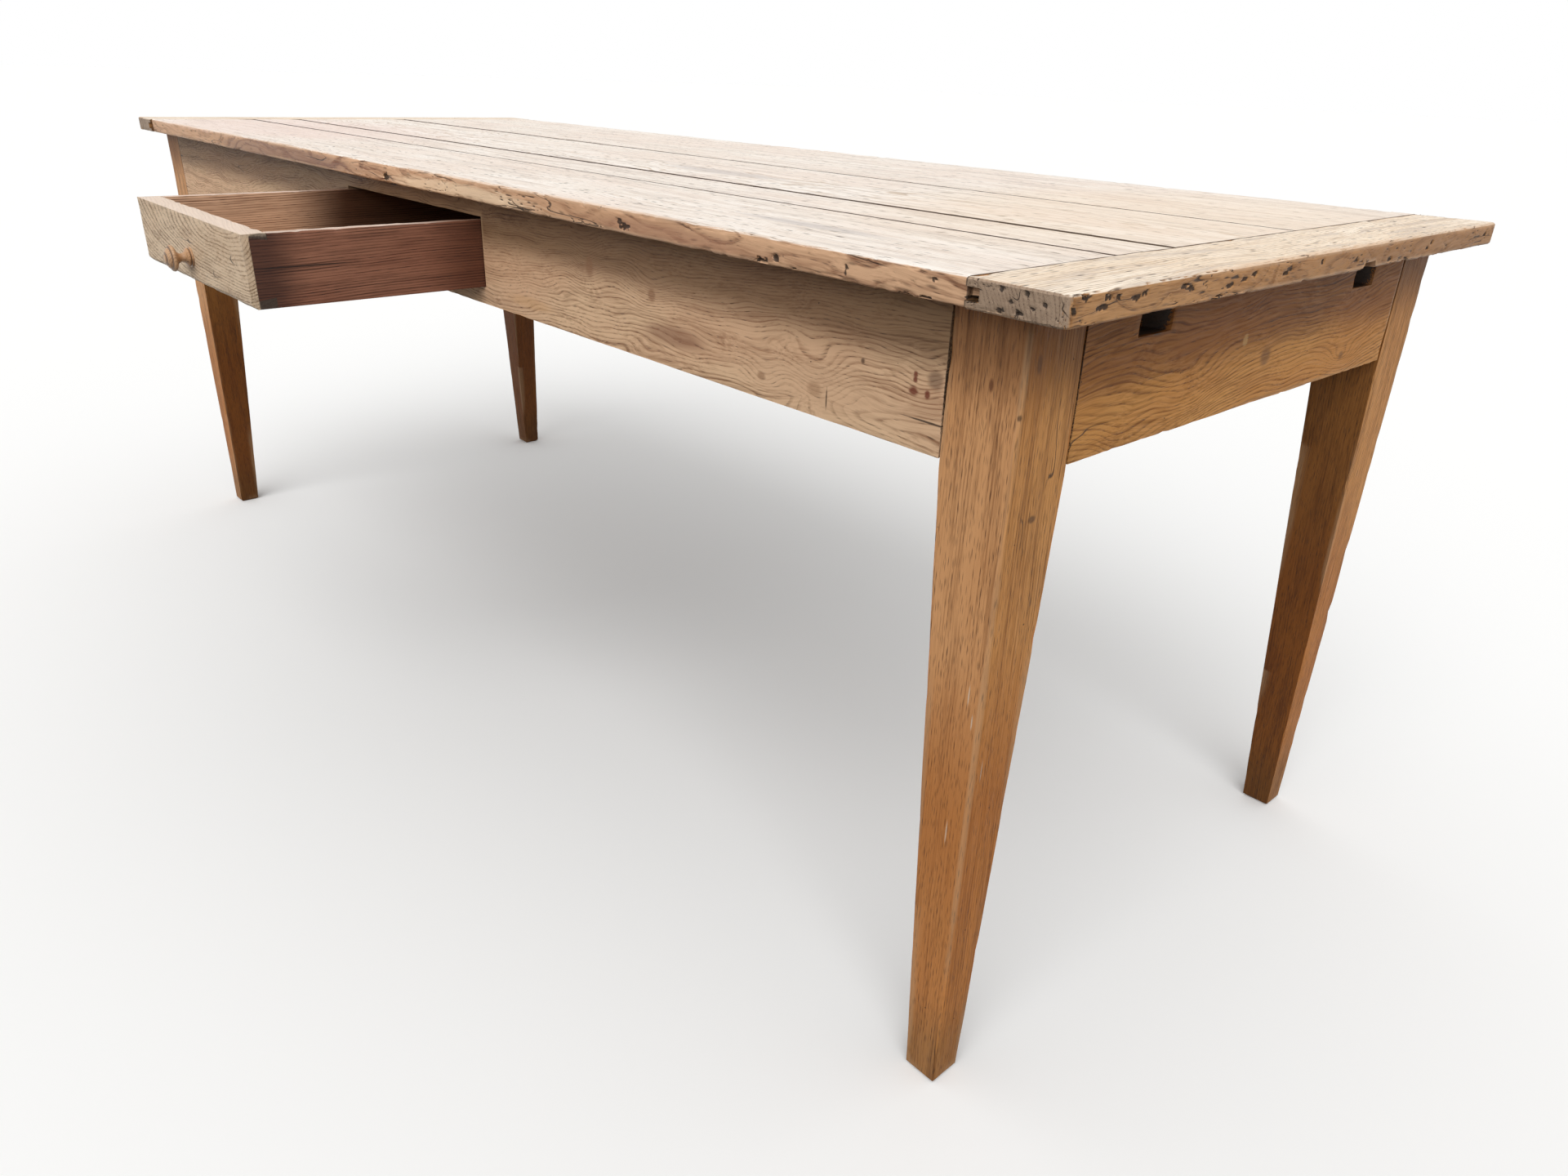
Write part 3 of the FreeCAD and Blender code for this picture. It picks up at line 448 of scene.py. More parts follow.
def worn_edge(tree, figure):
    """Where the marked edges are rubbed, broken up by the fibres."""
    mark = add(tree, "Attribute", attribute_name="wear")["Fac"]
    rough = add(tree, "Math", {0: figure["fibre"], 1: figure["blotch"]}, operation="MULTIPLY")[0]
    worn = add(tree, "Math", {0: mark, 1: rough}, operation="MULTIPLY")[0]
    return add(tree, "MapRange", {0: worn, 1: 0.05, 2: 0.4}, **SMOOTH)[0]


def seal(tree, figure, colour, roughness=(0.5, 0.72), relief=0.3 * MM, ior=1.36):
    """Pits, holes, splits, relief and gloss of the finished wood; dry old wood takes a lower IOR."""
    pit = add(tree, "Attribute", attribute_name="pit")["Fac"]
    pit = add(tree, "Math", {0: figure["fibre"], 1: 0.8, 2: pit}, operation="MULTIPLY_ADD")[0]
    pit = add(tree, "MapRange", {0: pit, 1: 0.64, 2: 1.0}, **SMOOTH)[0]
    colour = stain(tree, colour, "#22160E", pit, 0.88)
    colour = stain(tree, colour, "#1E140D", figure["worm"], 0.9)
    colour = stain(tree, colour, "#2A1C12", figure["split"], 0.85)
    height = add(tree, "Math", {0: figure["fibre"], 1: 0.5}, operation="MULTIPLY")[0]
    for layer, share in (("early", -0.35), ("pore", -0.8), ("worm", -2.5), ("split", -2)):
        height = add(tree, "Math", {0: figure[layer], 1: share, 2: height}, operation="MULTIPLY_ADD")[0]
    relief = add(tree, "Bump", {"Height": height, "Strength": 0.8, "Distance": relief})[0]
    gloss = add(tree, "MapRange", {0: figure["fibre"], 1: 0.3, 2: 0.7, 3: roughness[0], 4: roughness[1]})[0]
    surface = add(tree, "BsdfPrincipled", {"Base Color": colour, "Roughness": gloss, "Normal": relief,
                                           "IOR": ior})[0]
    add(tree, "OutputMaterial", {"Surface": surface})


# Each wood: its pale late wood, its deep early wood, the tint of its blotches and its pores
TOP_FACE = ("#FBF2E8", "#CDB59C", "#EBD5C4", "#664F3D")
END_FACE = ("#FDEEDA", "#B8946A", "#EBCDA8", "#573D28")
TOP_EDGE = ("#E4B892", "#7F5238", "#C6936E", "#3A2315")
END_EDGE = ("#CE9A66", "#80542C", "#B27A42", "#36200F")
END_GRAIN = ("#A8907A", "#8A735F", "#9A806A", "#3A2C20")
LONG_RAIL = ("#E9C49E", "#80583A", "#D4A380", "#3E2515")
END_RAIL = ("#DFA15A", "#7C4D1F", "#C17A34", "#371E0B")
LEG = ("#DBA370", "#724624", "#C1824C", "#351C0C")
DRAWER_FACE = ("#E3CAAC", "#765A40", "#D3B18E", "#4A3624")
DRAWER_OUTSIDE = ("#A5725A", "#462A1D", "#804B38", "#1C0E08")
DRAWER_INSIDE = ("#E2BA9A", "#6E4A33", "#C09272", "#3A2214")
HIDDEN = ("#B08B61", "#745336", "#977048", "#422C1A")
KNOB = ("#CDA47C", "#845C3C", "#B2835C", "#55361F")
# Painted shade on what lies under the top
UNDER_TOP_SHADE = "#6A5648"


def scrubbed_oak(name, along, log, tilt, face, edge, marks, seams):
    """Oak of the top. Scrubbing and sun have bleached its upper face to cream, with dark open pores
    and grey streaks; its edges stay brown and are eaten by worm, and its end grain is grey."""
    material, tree = start_material(name)
    figure = grain_figure(tree, along, log, tilt, ring=3.6, worm_cell=15, worm_size=1.2, rare=0.53,
                          lines=0.75, scatter=0.3 if along == Y else 0.08)
    pace = add(tree, "VectorMath", {0: figure["swayed"], 1: [1 / s for s in FLECK_SIZE]},
               operation="MULTIPLY")[0]
    cell = add(tree, "TexVoronoi", {"Vector": pace, "Scale": 1})
    dash = add(tree, "MapRange", {0: cell["Distance"], 1: 0.1, 2: 0.3, 3: 1, 4: 0})[0]
    chance = add(tree, "SeparateColor", {0: cell["Color"]})[0]
    chosen = add(tree, "MapRange", {0: chance, 1: 0.4, 2: 0.7})[0]
    dash = add(tree, "Math", {0: dash, 1: chosen}, operation="MULTIPLY")[0]
    grey = add(tree, "MapRange", {0: figure["streak"], 1: 0.52, 2: 0.68}, **SMOOTH)[0]
    bleached = tone(tree, figure, *face)
    bleached = stain(tree, bleached, "#C4BCB8", grey, 0.3)
    bleached = stain(tree, bleached, "#54402F", dash, 0.9)
    upper = add(tree, "Math", {0: facing(tree, Z, 0.3, 0.8), 1: ramp(tree, figure, Z, -2.4, -1.2)},
                operation="MULTIPLY")[0]
    brown = stain(tree, tone(tree, figure, *edge), "#4A2E1C", dash, 0.6)
    colour = stain(tree, brown, bleached, upper)
    if along == Y:
        for way in (-1, 1):
            grain = tone(tree, figure, *END_GRAIN)
            colour = stain(tree, colour, grain, facing(tree, Y, 0.25 * way, 0.6 * way))
    for place, reach, dye, share, *core in marks:
        colour = stain(tree, colour, dye, near(tree, figure, place, reach, *core), share)
    fewer = add(tree, "MapRange", {0: upper, 3: 1, 4: 0.15})[0]
    for flaw in ("worm", "split"):
        figure[flaw] = add(tree, "Math", {0: figure[flaw], 1: fewer}, operation="MULTIPLY")[0]
    colour = stain(tree, colour, "#DDB794", worn_edge(tree, figure), 0.5)
    for axis, place, width, share in seams:
        colour = stain(tree, colour, "#33261C", seam(tree, figure, axis, place, width), share)
    seal(tree, figure, colour, roughness=(0.42, 0.62))
    return material


def waxed_oak(name, along, log, tilt, colours, knots=(), spots=(), zones=(), sides=(), **growth):
    """Waxed oak of the frame and drawer: tan with dark lines of early wood and open pores, a low
    gloss, rubbed paler on its edges, with the knots and stains where they are on the table. Zones
    tint the wood along an axis; under the top they darken it, partly old wax and dust and partly
    painted shade. Sides tint faces that look along an axis, as on the legs, whose inner faces take
    painted shade."""
    material, tree = start_material(name)
    figure = grain_figure(tree, along, log, tilt, knots=knots, **growth)
    colour = tone(tree, figure, *colours)
    for axis, none, full, dye, share in zones:
        colour = stain(tree, colour, dye, ramp(tree, figure, axis, none, full), share, "MULTIPLY")
    for axis, way, dye in sides:
        colour = stain(tree, colour, dye, facing(tree, axis, 0.5 * way, 0.9 * way), 1, "MULTIPLY")
    colour = stain(tree, colour, "#D8B48C", worn_edge(tree, figure), 0.3)
    for place, reach, dye, share, *core in spots:
        colour = stain(tree, colour, dye, near(tree, figure, place, reach, *core), share)
    seal(tree, figure, colour)
    return material


def drawer_front_oak(name, ends):
    """Paler oak of the drawer's front, its top edge rubbed bare and pink, its dovetail pins black."""
    material, tree = start_material(name)
    figure = grain_figure(tree, X, (0, 565, 32), (0, 0.2), ring=3.6, sway=8, lines=0.75)
    colour = tone(tree, figure, *DRAWER_FACE)
    colour = stain(tree, colour, "#EAD6C6", facing(tree, Z, 0.5, 0.9), 0.75)
    behind = ramp(tree, figure, Y, LAP_PLACE - 1, LAP_PLACE + 1)
    for side in (-1, 1):
        aside = ramp(tree, figure, X, ends[side] - 0.6 * side, ends[side] - 0.2 * side)
        pins = add(tree, "Math", {0: behind, 1: aside}, operation="MULTIPLY")[0]
        colour = stain(tree, colour, "#352822", pins, 0.96)
    colour = stain(tree, colour, "#E2CDB4", worn_edge(tree, figure), 0.4)
    seal(tree, figure, colour)
    return material


def drawer_side_oak(name, log, middle):
    """Oak of a drawer's side: dark and greasy outside, blackened near the front, red-brown inside
    and rubbed bare along its top edge; outside, inside and top edge darken as painted shade where
    the side runs under the top."""
    material, tree = start_material(name)
    figure = grain_figure(tree, Y, log, (0.015, 0.02), ring=3, sway=3, rare=0.8, bands=1.3, lines=0.9)
    x = add(tree, "SeparateXYZ", {0: figure["spot"]})[X]
    aside = add(tree, "Math", {0: x, 1: middle}, operation="SUBTRACT")[0]
    aside = add(tree, "Math", {0: aside}, operation="ABSOLUTE")[0]
    outside = add(tree, "MapRange", {0: aside, 1: SIDE_MIDDLE - 1, 2: SIDE_MIDDLE + 1})[0]
    dark = tone(tree, figure, *DRAWER_OUTSIDE)
    dark = stain(tree, dark, "#6E6468", ramp(tree, figure, Y, -560, -606), 0.8, "MULTIPLY")
    # Painted shade: the outside darkens where it runs under the top
    dark = stain(tree, dark, "#B4A8A0", ramp(tree, figure, Y, -450, -370), 1, "MULTIPLY")
    crack = near(tree, figure, (222, -570, -83), (20, 60, 0.9), core=0.6)
    dark = stain(tree, dark, "#150C08", crack, 0.9)
    inside = tone(tree, figure, *DRAWER_INSIDE)
    # Painted shade: the inside darkens where it runs under the top
    inside = stain(tree, inside, UNDER_TOP_SHADE, ramp(tree, figure, Y, *UNDER_TOP), 1, "MULTIPLY")
    colour = stain(tree, inside, dark, outside)
    # The top edge is rubbed pale, and darker where it runs under the top as painted shade
    rubbed = stain(tree, "#DFC8B8", "#8A6A58", ramp(tree, figure, Y, -470, -380))
    colour = stain(tree, colour, rubbed, facing(tree, Z, 0.5, 0.9), 0.8)
    seal(tree, figure, colour)
    return material


def turned_fruitwood(name, centre, front):
    """Turned fruitwood: close warm grain, polished by hands, with dirt in the turned grooves."""
    material, tree = start_material(name)
    figure = grain_figure(tree, Y, (60, 40, 30), (0.05, 0.08), ring=2.2, sway=6, worm_cell=60)
    colour = tone(tree, figure, *KNOB)
    for reach in KNOB_GROOVES:
        groove = near(tree, figure, (centre.x / MM, front / MM - reach, centre.z / MM), (60, 0.9, 60))
        colour = stain(tree, colour, "#3A2415", groove, 0.7)
    seal(tree, figure, colour, roughness=(0.34, 0.5), relief=0.1 * MM, ior=1.5)
    return material


def rusted_iron(name):
    """Hand-cut iron gone dark, with brown rust in spots of about 1.5 mm."""
    material, tree = start_material(name)
    place = add(tree, "TexCoord")["Object"]
    spots = add(tree, "TexNoise", {"Vector": place, "Scale": 1 / (1.5 * MM), "Detail": 4})["Fac"]
    rust = add(tree, "MapRange", {0: spots, 1: 0.42, 2: 0.6}, **SMOOTH)[0]
    colour = add(tree, "Mix", {0: rust, 6: linear("#3B3632"), 7: linear("#5E3A26")}, data_type="RGBA")[2]
    dull = add(tree, "MapRange", {0: rust, 3: 0.45, 4: 0.85})[0]
    bare = add(tree, "MapRange", {0: rust, 3: 0.9, 4: 0.1})[0]
    relief = add(tree, "Bump", {"Height": spots, "Strength": 0.5, "Distance": 0.2 * MM})[0]
    surface = add(tree, "BsdfPrincipled", {"Base Color": colour, "Roughness": dull, "Metallic": bare,
                                           "Normal": relief})[0]
    add(tree, "OutputMaterial", {"Surface": surface})
    return material


# Pieces

# Pits, holes and chips seen on the top's edges: place, reach and depth in millimetres
FRONT_PITS = [
    ((x, FRONT_EDGE, z), reach, depth) for x, z, reach, depth in (
        (933, -7, (2.8, 6, 1.6), 2.2), (768, -15, (4, 6, 3.0), 2.5), (556, -15, (9, 6, 3.5), 2.5),
        (549, -11, (4, 6, 2.5), 2.0), (751, -22, (9, 9, 5.0), 4.5), (790, -22, (5, 6, 3.0), 2.0),
        (905, -22, (7, 6, 2.5), 2.0), (925, -22, (6, 6, 2.5), 2.0), (43, -15, (9, 6, 5.0), 2.5),
        (846, -11, (2, 6, 5.0), 1.8))
]
END_PITS = [
    ((OUTER_END, y, z), (8, 0.75 * reach, 2.2), 2.0) for y, z, reach in (
        (-376, -3, 8), (-388, -11, 5), (-356, -11, 9), (-350, -5, 5), (-338, -6, 4), (-315, -9, 8),
        (-305, -7, 4), (-253, -7, 6), (-244, -9, 5), (-200, -20, 10), (-186, -13, 7), (-165, -10, 7),
        (-150, -8, 6), (-96, -12, 7), (-88, -9, 4), (-30, -8, 4), (40, -12, 4), (115, -17, 6),
        (204, -13, 5), (212, -8, 4), (364, -10, 7))
]
END_GRAIN_PITS = [
    ((x, -395, z), (2.6, 7, 2.0), 2.0) for x, z in
    ((993, -3), (1001, -11), (1013, -4), (1018, -13), (1008, -17), (993, -18), (1027, -8))
]
# Stretch of the front plank's edge that the worm has eaten most, in millimetres
EATEN = (150, 480)
# How far each plank but the last has fallen at its back edge: far end, middle and near end, in millimetres
CUP_DROPS = ((1.0, 0.12, 0.4), (0.95, 0.85, 0.95), (1.2, 0.4, 0.06))
CUP_SLICES = (1, 0.7, 0.45, 0.25)
PLANK_GAP = 0.9 * MM
PLANK_INSET = 15 * MM
PLANK_STRIP = 45 * MM
TOP_STEP = 9 * MM
TOP_LEVELS = (-5 * MM, -11 * MM, -17 * MM)
SEAM_WIDTH = 1.2

# Stains: place and reach in millimetres, colour, share and, for some, how far their even core goes
PLANK_STAINS = [
    ((284, -47, 0), (150, 30, 9), "#B9B0AC", 0.5), ((723, -309, 0), (120, 16, 9), "#BBB4B2", 0.5),
    ((611, 52, 0), (40, 2, 9), "#4A3A30", 0.7), ((580, 39, 0), (16, 8, 9), "#8A7666", 0.6),
    ((940, -299, 0), (14, 1.5, 9), "#4A3A30", 0.7), ((830, 60, 0), (330, 430, 9), "#EFCFA6", 0.3),
    ((-700, -230, 0), (480, 260, 9), "#EBCDC2", 0.42),
    ((228, FRONT_EDGE, -16), (210, 30, 13), "#FFE0BC", 0.8, 0.5),
    ((618, FRONT_EDGE, -16), (150, 30, 13), "#A4745C", 0.5),
    ((-320, FRONT_EDGE, -14), (300, 30, 15), "#856152", 0.6, 0.6),
]
END_STAINS = [((OUTER_END, 210, -13), (20, 330, 16), "#8E6238", 0.5)]
# Painted shade: near-black marks in the gaps over and under the planks' tongues, open at the top's edges
TONGUE_GAP_SHADE = [
    ((side * away, edge * 394, level), reach, "#1A120C", 0.94, 0.8)
    for side in (-1, 1) for edge in (-1, 1)
    for away, level, reach in ((969, -7, (9, 14, 0.9)), (968, -14.4, (8, 14, 2)))
]


def end_seams(end):
    """Dirty lines where the planks meet the breadboard ends."""
    return [(X, side * end / MM, SEAM_WIDTH, 0.7) for side in (-1, 1)]


def make_planks(end):
    """The four planks of the top, which meet the breadboard ends at a distance from the middle."""
    names = ("front", "second", "third", "back")
    starts = [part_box(f"top_plank_{name}")[0].y for name in names]
    for number, name in enumerate(names):
        node = f"top_plank_{name}"
        low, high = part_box(node)
        first, last = low.y + EDGE_STRIP, high.y - PLANK_INSET
        slices = {
            X: spread(-end, end, TOP_STEP),
            Y: [first, *spread(first, last, PLANK_STRIP), last],
            Z: TOP_LEVELS,
        }
        joints = starts[number:number + 1] if number else []
        warp = None
        if name != "back":
            back = starts[number + 1] - PLANK_GAP
            joints = [*joints, back]
            slices[Y] += [back - part * CUP_REACH for part in CUP_SLICES]

            def warp(piece, back=back, drops=CUP_DROPS[number]):
                cup(piece, back, drops)

        seams = [(Y, place / MM, SEAM_WIDTH, 0.9) for place in joints]
        log = (400 * number, -90 + 60 * number, 70 + 25 * number)
        tilt = (0.012 * (number - 1.5), 0.01)
        material = scrubbed_oak(f"scrubbed_oak_plank_{name}", X, log, tilt, TOP_FACE, TOP_EDGE,
                                [*PLANK_STAINS, *TONGUE_GAP_SHADE], [*seams, *end_seams(end)])
        outer, outward = {"front": (low.y, -1), "back": (high.y, 1)}.get(name, (None, 0))

        def at_edge(spot, outer=outer):
            return outer is not None and close_to(spot.y, outer, BROKEN_EDGE) and abs(spot.x) < end + MM

        def at_end(spot):
            return close_to(spot.z, 0) and close_to(abs(spot.x), end)

        eases = [(at_edge, TOP_EASE)]
        for place in joints:
            def at_joint(spot, place=place):
                return close_to(spot.z, 0) and close_to(spot.y, place)

            eases.append((at_joint, JOINT_EASE, 0.2))
        eases.append((at_end, END_EASE, 0.25))

        def at_side(spot, normal, outer=outer, outward=outward):
            return outer is not None and close_to(spot.y, outer, 3 * MM) and normal.y * outward > 0.5

        def dip(spot, normal, at_side=at_side, seed=number + 3.5):
            if not at_side(spot, normal):
                return 0
            eaten = EATEN[0] * MM < spot.x < EATEN[1] * MM
            run = worm_run(spot, X, seed) * (0.9 if eaten else 0.4) * MM
            return max(run, pit_depth(spot, FRONT_PITS))

        worn_board(node, TABLE, material, slices, eases, depth=2.0 * MM, patch=45 * MM,
                   seed=number + 1.5, fine=at_side, dip=dip, warp=warp)


def make_breadboards(end):
    """The boards across the planks' ends, worn and eaten by worm along their outer sides and ends."""
    for number, name in enumerate(("left", "right")):
        node = f"breadboard_{name}"
        low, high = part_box(node)
        material = scrubbed_oak(f"scrubbed_oak_end_{name}", Y, (90, 60 + 45 * number, 95), (0.02, -0.015),
                                END_FACE, END_EDGE, [*TONGUE_GAP_SHADE, *END_STAINS], end_seams(end))
        slices = {
            Y: spread(low.y, high.y, TOP_STEP),
            X: [low.x + EDGE_STRIP, *spread(low.x, high.x, 12 * MM), high.x - 9 * MM],
            Z: TOP_LEVELS,
        }
        outer = high.x if high.x > 0 else low.x

        def wanted(spot, outer=outer, low=low, high=high):
            at_end = close_to(spot.y, low.y, 9 * MM) or close_to(spot.y, high.y, 9 * MM)
            below = at_end and close_to(spot.z, low.z, WORN_REACH)
            return close_to(spot.z, 0) or close_to(spot.x, outer, 2.2 * MM) or below

        def at_rim(spot, normal, outer=outer, low=low, high=high):
            at_end = close_to(spot.y, low.y, 3 * MM) or close_to(spot.y, high.y, 3 * MM)
            at_outside = close_to(spot.x, outer, 6 * MM) and abs(normal.x) > 0.5
            return at_outside or (at_end and abs(normal.y) > 0.5)

        def dip(spot, normal, at_rim=at_rim, seed=number + 9.5):
            if not at_rim(spot, normal):
                return 0
            return max(worm_run(spot, Y, seed) * 0.8 * MM, pit_depth(spot, END_PITS + END_GRAIN_PITS))

        worn_board(node, TABLE, material, slices, [(wanted, TOP_EASE)], depth=2.0 * MM,
                   patch=40 * MM, seed=number + 7.5, fine=at_rim, dip=dip)


# Knots in the rails: place and reach in millimetres, and how many rings they push aside
FRONT_RAIL_KNOTS = [
    ((x, FRAME_FRONT, z), (wide, 60, tall), rings) for x, z, wide, tall, rings in (
        (450, -69, 26, 34, 5), (558, -80, 30, 26, 4), (721, -124, 26, 16, 4), (789, -121, 42, 26, 6),
        (919, -86, 22, 20, 2.5))
]
END_RAIL_KNOTS = [
    ((FRAME_END, 185, -124), (60, 34, 16), 5), ((FRAME_END, -122, -100), (60, 60, 22), 4),
    ((FRAME_END, -230, -140), (60, 70, 30), 6),
]
RUST = "#6E2F1B"
JOINT_DIRT = "#1E140D"
FRONT_RAIL_STAINS = [
    ((x, FRAME_FRONT, z), reach, dye, share) for x, z, reach, dye, share in (
        (800, -122, (170, 30, 32), "#E0BC98", 0.35), (593, -113, (60, 30, 13), "#7A4A33", 0.55),
        (919, -86, (10, 30, 10), "#5A4032", 0.6), (324, -126, (60, 30, 9), "#D6A878", 0.5),
        (898, -98, (6, 9, 5), RUST, 0.9), (912, -98, (3.5, 9, 5), RUST, 0.9),
        (899, -85, (3, 9, 3), RUST, 0.9), (899, -89, (3, 9, 3), RUST, 0.9),
        (843, -86, (3, 9, 3), "#4A3020", 0.8), (804, -126, (1.2, 9, 12), "#3A2518", 0.85),
        (915, -119, (34, 9, 1.1), "#2E1D12", 0.9), (450, -69, (9, 9, 14), "#8A6044", 0.55),
        (558, -80, (8, 9, 9), "#8A5E40", 0.6), (721, -124, (7, 9, 5), "#8C6344", 0.6),
        (789, -121, (12, 9, 8), "#9A7252", 0.5))
]
END_RAIL_STAINS = [
    ((FRAME_END, -38, -81), (20, 6, 8), "#DDB57A", 0.5),
    ((FRAME_END, 9, -101), (20, 13, 11), "#6B4526", 0.65),
    ((FRAME_END, 185, -124), (20, 7, 6), "#7A5230", 0.6),
]


def make_long_rails():
    """The front and back rails, with dirt in their joints, and old wax and painted shade under the top."""
    for node, log, knots, stains in (("front_rail", (0, 300, 130), FRONT_RAIL_KNOTS, FRONT_RAIL_STAINS),
                                     ("back_rail", (700, -470, 140), (), ())):
        low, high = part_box(node)
        face = low.y if low.y < 0 else high.y
        joints = [((side * SHOULDER_X, face / MM, RAIL_MIDDLE), (2.4, 9, 90), JOINT_DIRT, 0.92, 0.7)
                  for side in (-1, 1)]
        # The zone darkens the rail towards the top: painted shade under the top's overhang, with old wax and
        # dust
        material = waxed_oak(f"waxed_oak_{node}", X, log, (0.05, 0.02), LONG_RAIL, knots, [*stains, *joints],
                             [(Z, -92, -56, "#A0998F", 1)], ring=3.8, sway=24, lines=0.62)
        slices = {
            X: spread(low.x, high.x, 14 * MM),
            Y: spread(low.y, high.y, 9 * MM),
            Z: [low.z + EDGE_STRIP, *spread(low.z, high.z, 24 * MM), high.z - EDGE_STRIP],
        }

        def wanted(spot, face=face, bottom=low.z):
            return close_to(spot.y, face) or close_to(spot.z, bottom)

        worn_board(node, TABLE, material, slices, [(wanted, FRAME_EASE)], depth=1.4 * MM,
                   patch=50 * MM, seed=3.5)


def make_end_rails():
    """The end rails, with dirt in their joints, painted shade in their notches, and old wax and painted shade
    under the top.
    """
    for node, log, knots, stains in (("end_rail_right", (200, 1000, 160), END_RAIL_KNOTS, END_RAIL_STAINS),
                                     ("end_rail_left", (900, -1010, 150), (), ())):
        low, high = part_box(node)
        face = low.x if low.x < 0 else high.x
        inside = (face - math.copysign(RAIL_THICKNESS / 2, face)) / MM
        # Painted shade: near black inside the notches, fading towards the rail's outer face
        notch_shade = [((inside, side * NOTCH_PLACE, -40), (14.5, 40, 30), "#1C1917", 0.95, 0.9) for side in (-1, 1)]
        joints = [((face / MM, side * SHOULDER_Y, RAIL_MIDDLE), (9, 2.4, 90), JOINT_DIRT, 0.92, 0.7)
                  for side in (-1, 1)]
        # The zone darkens the rail towards the top: painted shade under the top, with old wax and dust
        material = waxed_oak(f"waxed_oak_{node}", Y, log, (0.06, 0.02), END_RAIL, knots,
                             [*stains, *notch_shade, *joints], [(Z, -106, -72, "#B8A890", 1)],
                             ring=4.2, sway=18, lines=0.75)
        slices = {
            Y: spread(low.y, high.y, 7 * MM),
            X: spread(low.x, high.x, 9 * MM),
            Z: [low.z + EDGE_STRIP, *spread(low.z, high.z, 12 * MM), high.z - EDGE_STRIP],
        }

        def wanted(spot, face=face, bottom=low.z):
            return close_to(spot.x, face) or close_to(spot.z, bottom)

        def warp(piece, face=face):
            narrow_notches(piece, face)

        worn_board(node, TABLE, material, slices, [(wanted, FRAME_EASE)], depth=1.8 * MM,
                   patch=40 * MM, seed=5.5, warp=warp)


OLD_KNOCK, BROWN_KNOCK, SCRATCH = "#3A2416", "#5A3018", "#E8DAC6"
LEG_STAINS = [
    ((970, FRAME_FRONT, -78), (3, 9, 7), BROWN_KNOCK, 0.8),
    ((FRAME_END, FRAME_FRONT, -45), (2.4, 2.4, 34), OLD_KNOCK, 0.75),
    ((997, FRAME_FRONT, -96), (2, 4, 3), OLD_KNOCK, 0.7),
    ((FRAME_END, -348, -59), (9, 4, 10), "#5A3A22", 0.7),
    ((FRAME_END, -331, -180), (9, 6, 4), OLD_KNOCK, 0.7),
    ((972, FRAME_FRONT, -98), (1.2, 9, 9), BROWN_KNOCK, 0.6),
    ((984, FRAME_FRONT, -330), (0.9, 9, 12), SCRATCH, 0.6),
    ((990, FRAME_FRONT, -352), (0.9, 9, 9), SCRATCH, 0.6),
    ((978, FRAME_FRONT, -470), (0.9, 9, 14), SCRATCH, 0.5),
    ((FRAME_END, -352, -400), (9, 0.9, 16), SCRATCH, 0.5),
]
# Old wax and painted shade under the top, yellowed wood on the way down and grey feet: axis, none, full,
# colour and share
LEG_ZONES = [(Z, -110, -52, "#B9B2AA", 1), (Z, -260, -460, "#DFC79F", 0.9), (Z, -640, -735, "#D6E2EC", 0.9)]
# The legs' inner faces are darkened as painted shade under the table; their outer end faces take a yellower
# tint
LEG_INSIDE_SHADE, LEG_OUTSIDE = "#A8966C", "#FFF6D8"
LEG_STRIPS = (6, 17, 28, 45, 62)


def make_legs():
    """The tapered legs, their long edges and feet worn."""
    for number, name in enumerate(("front_left", "front_right", "back_right", "back_left")):
        node = f"leg_{name}"
        low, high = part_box(node)
        outer_x = high.x if high.x > 0 else low.x
        outer_y = high.y if high.y > 0 else low.y
        taper_top = high.z - TAPER_DROP

        def wanted(spot, outer_x=outer_x, outer_y=outer_y, low=low, taper_top=taper_top, top=high.z):
            down = max(0, (taper_top - spot.z) / (taper_top - low.z))
            width = LEG_WIDTH + (FOOT_WIDTH - LEG_WIDTH) * down
            edges = 0
            for inset in (abs(spot.x - outer_x), abs(spot.y - outer_y)):
                edges += inset < BROKEN_EDGE or close_to(inset, width, 0.3 * MM)
            at_foot = spot.z < low.z + BROKEN_FOOT
            return (edges == 2 and spot.z < top - MM) or at_foot

        towards_x, towards_y = math.copysign(1, outer_x), math.copysign(1, outer_y)
        sides = [(X, -towards_x, LEG_INSIDE_SHADE), (Y, -towards_y, LEG_INSIDE_SHADE), (X, towards_x, LEG_OUTSIDE)]
        log = (500 * number, 600 - outer_y / MM, 640 + outer_x / MM)
        material = waxed_oak(f"waxed_oak_leg_{name}", Z, log, (0.01, 0.012), LEG, (), LEG_STAINS, LEG_ZONES,
                             sides, ring=2.4, sway=3, lines=0.36, scatter=0.5)
        slices = {
            Z: spread(low.z + 4 * MM, high.z, 14 * MM),
            X: [outer_x - towards_x * place * MM for place in LEG_STRIPS],
            Y: [outer_y - towards_y * place * MM for place in LEG_STRIPS],
        }
        worn_board(node, TABLE, material, slices, [(wanted, LEG_EASE)], depth=2.0 * MM,
                   patch=60 * MM, seed=number + 11.5)


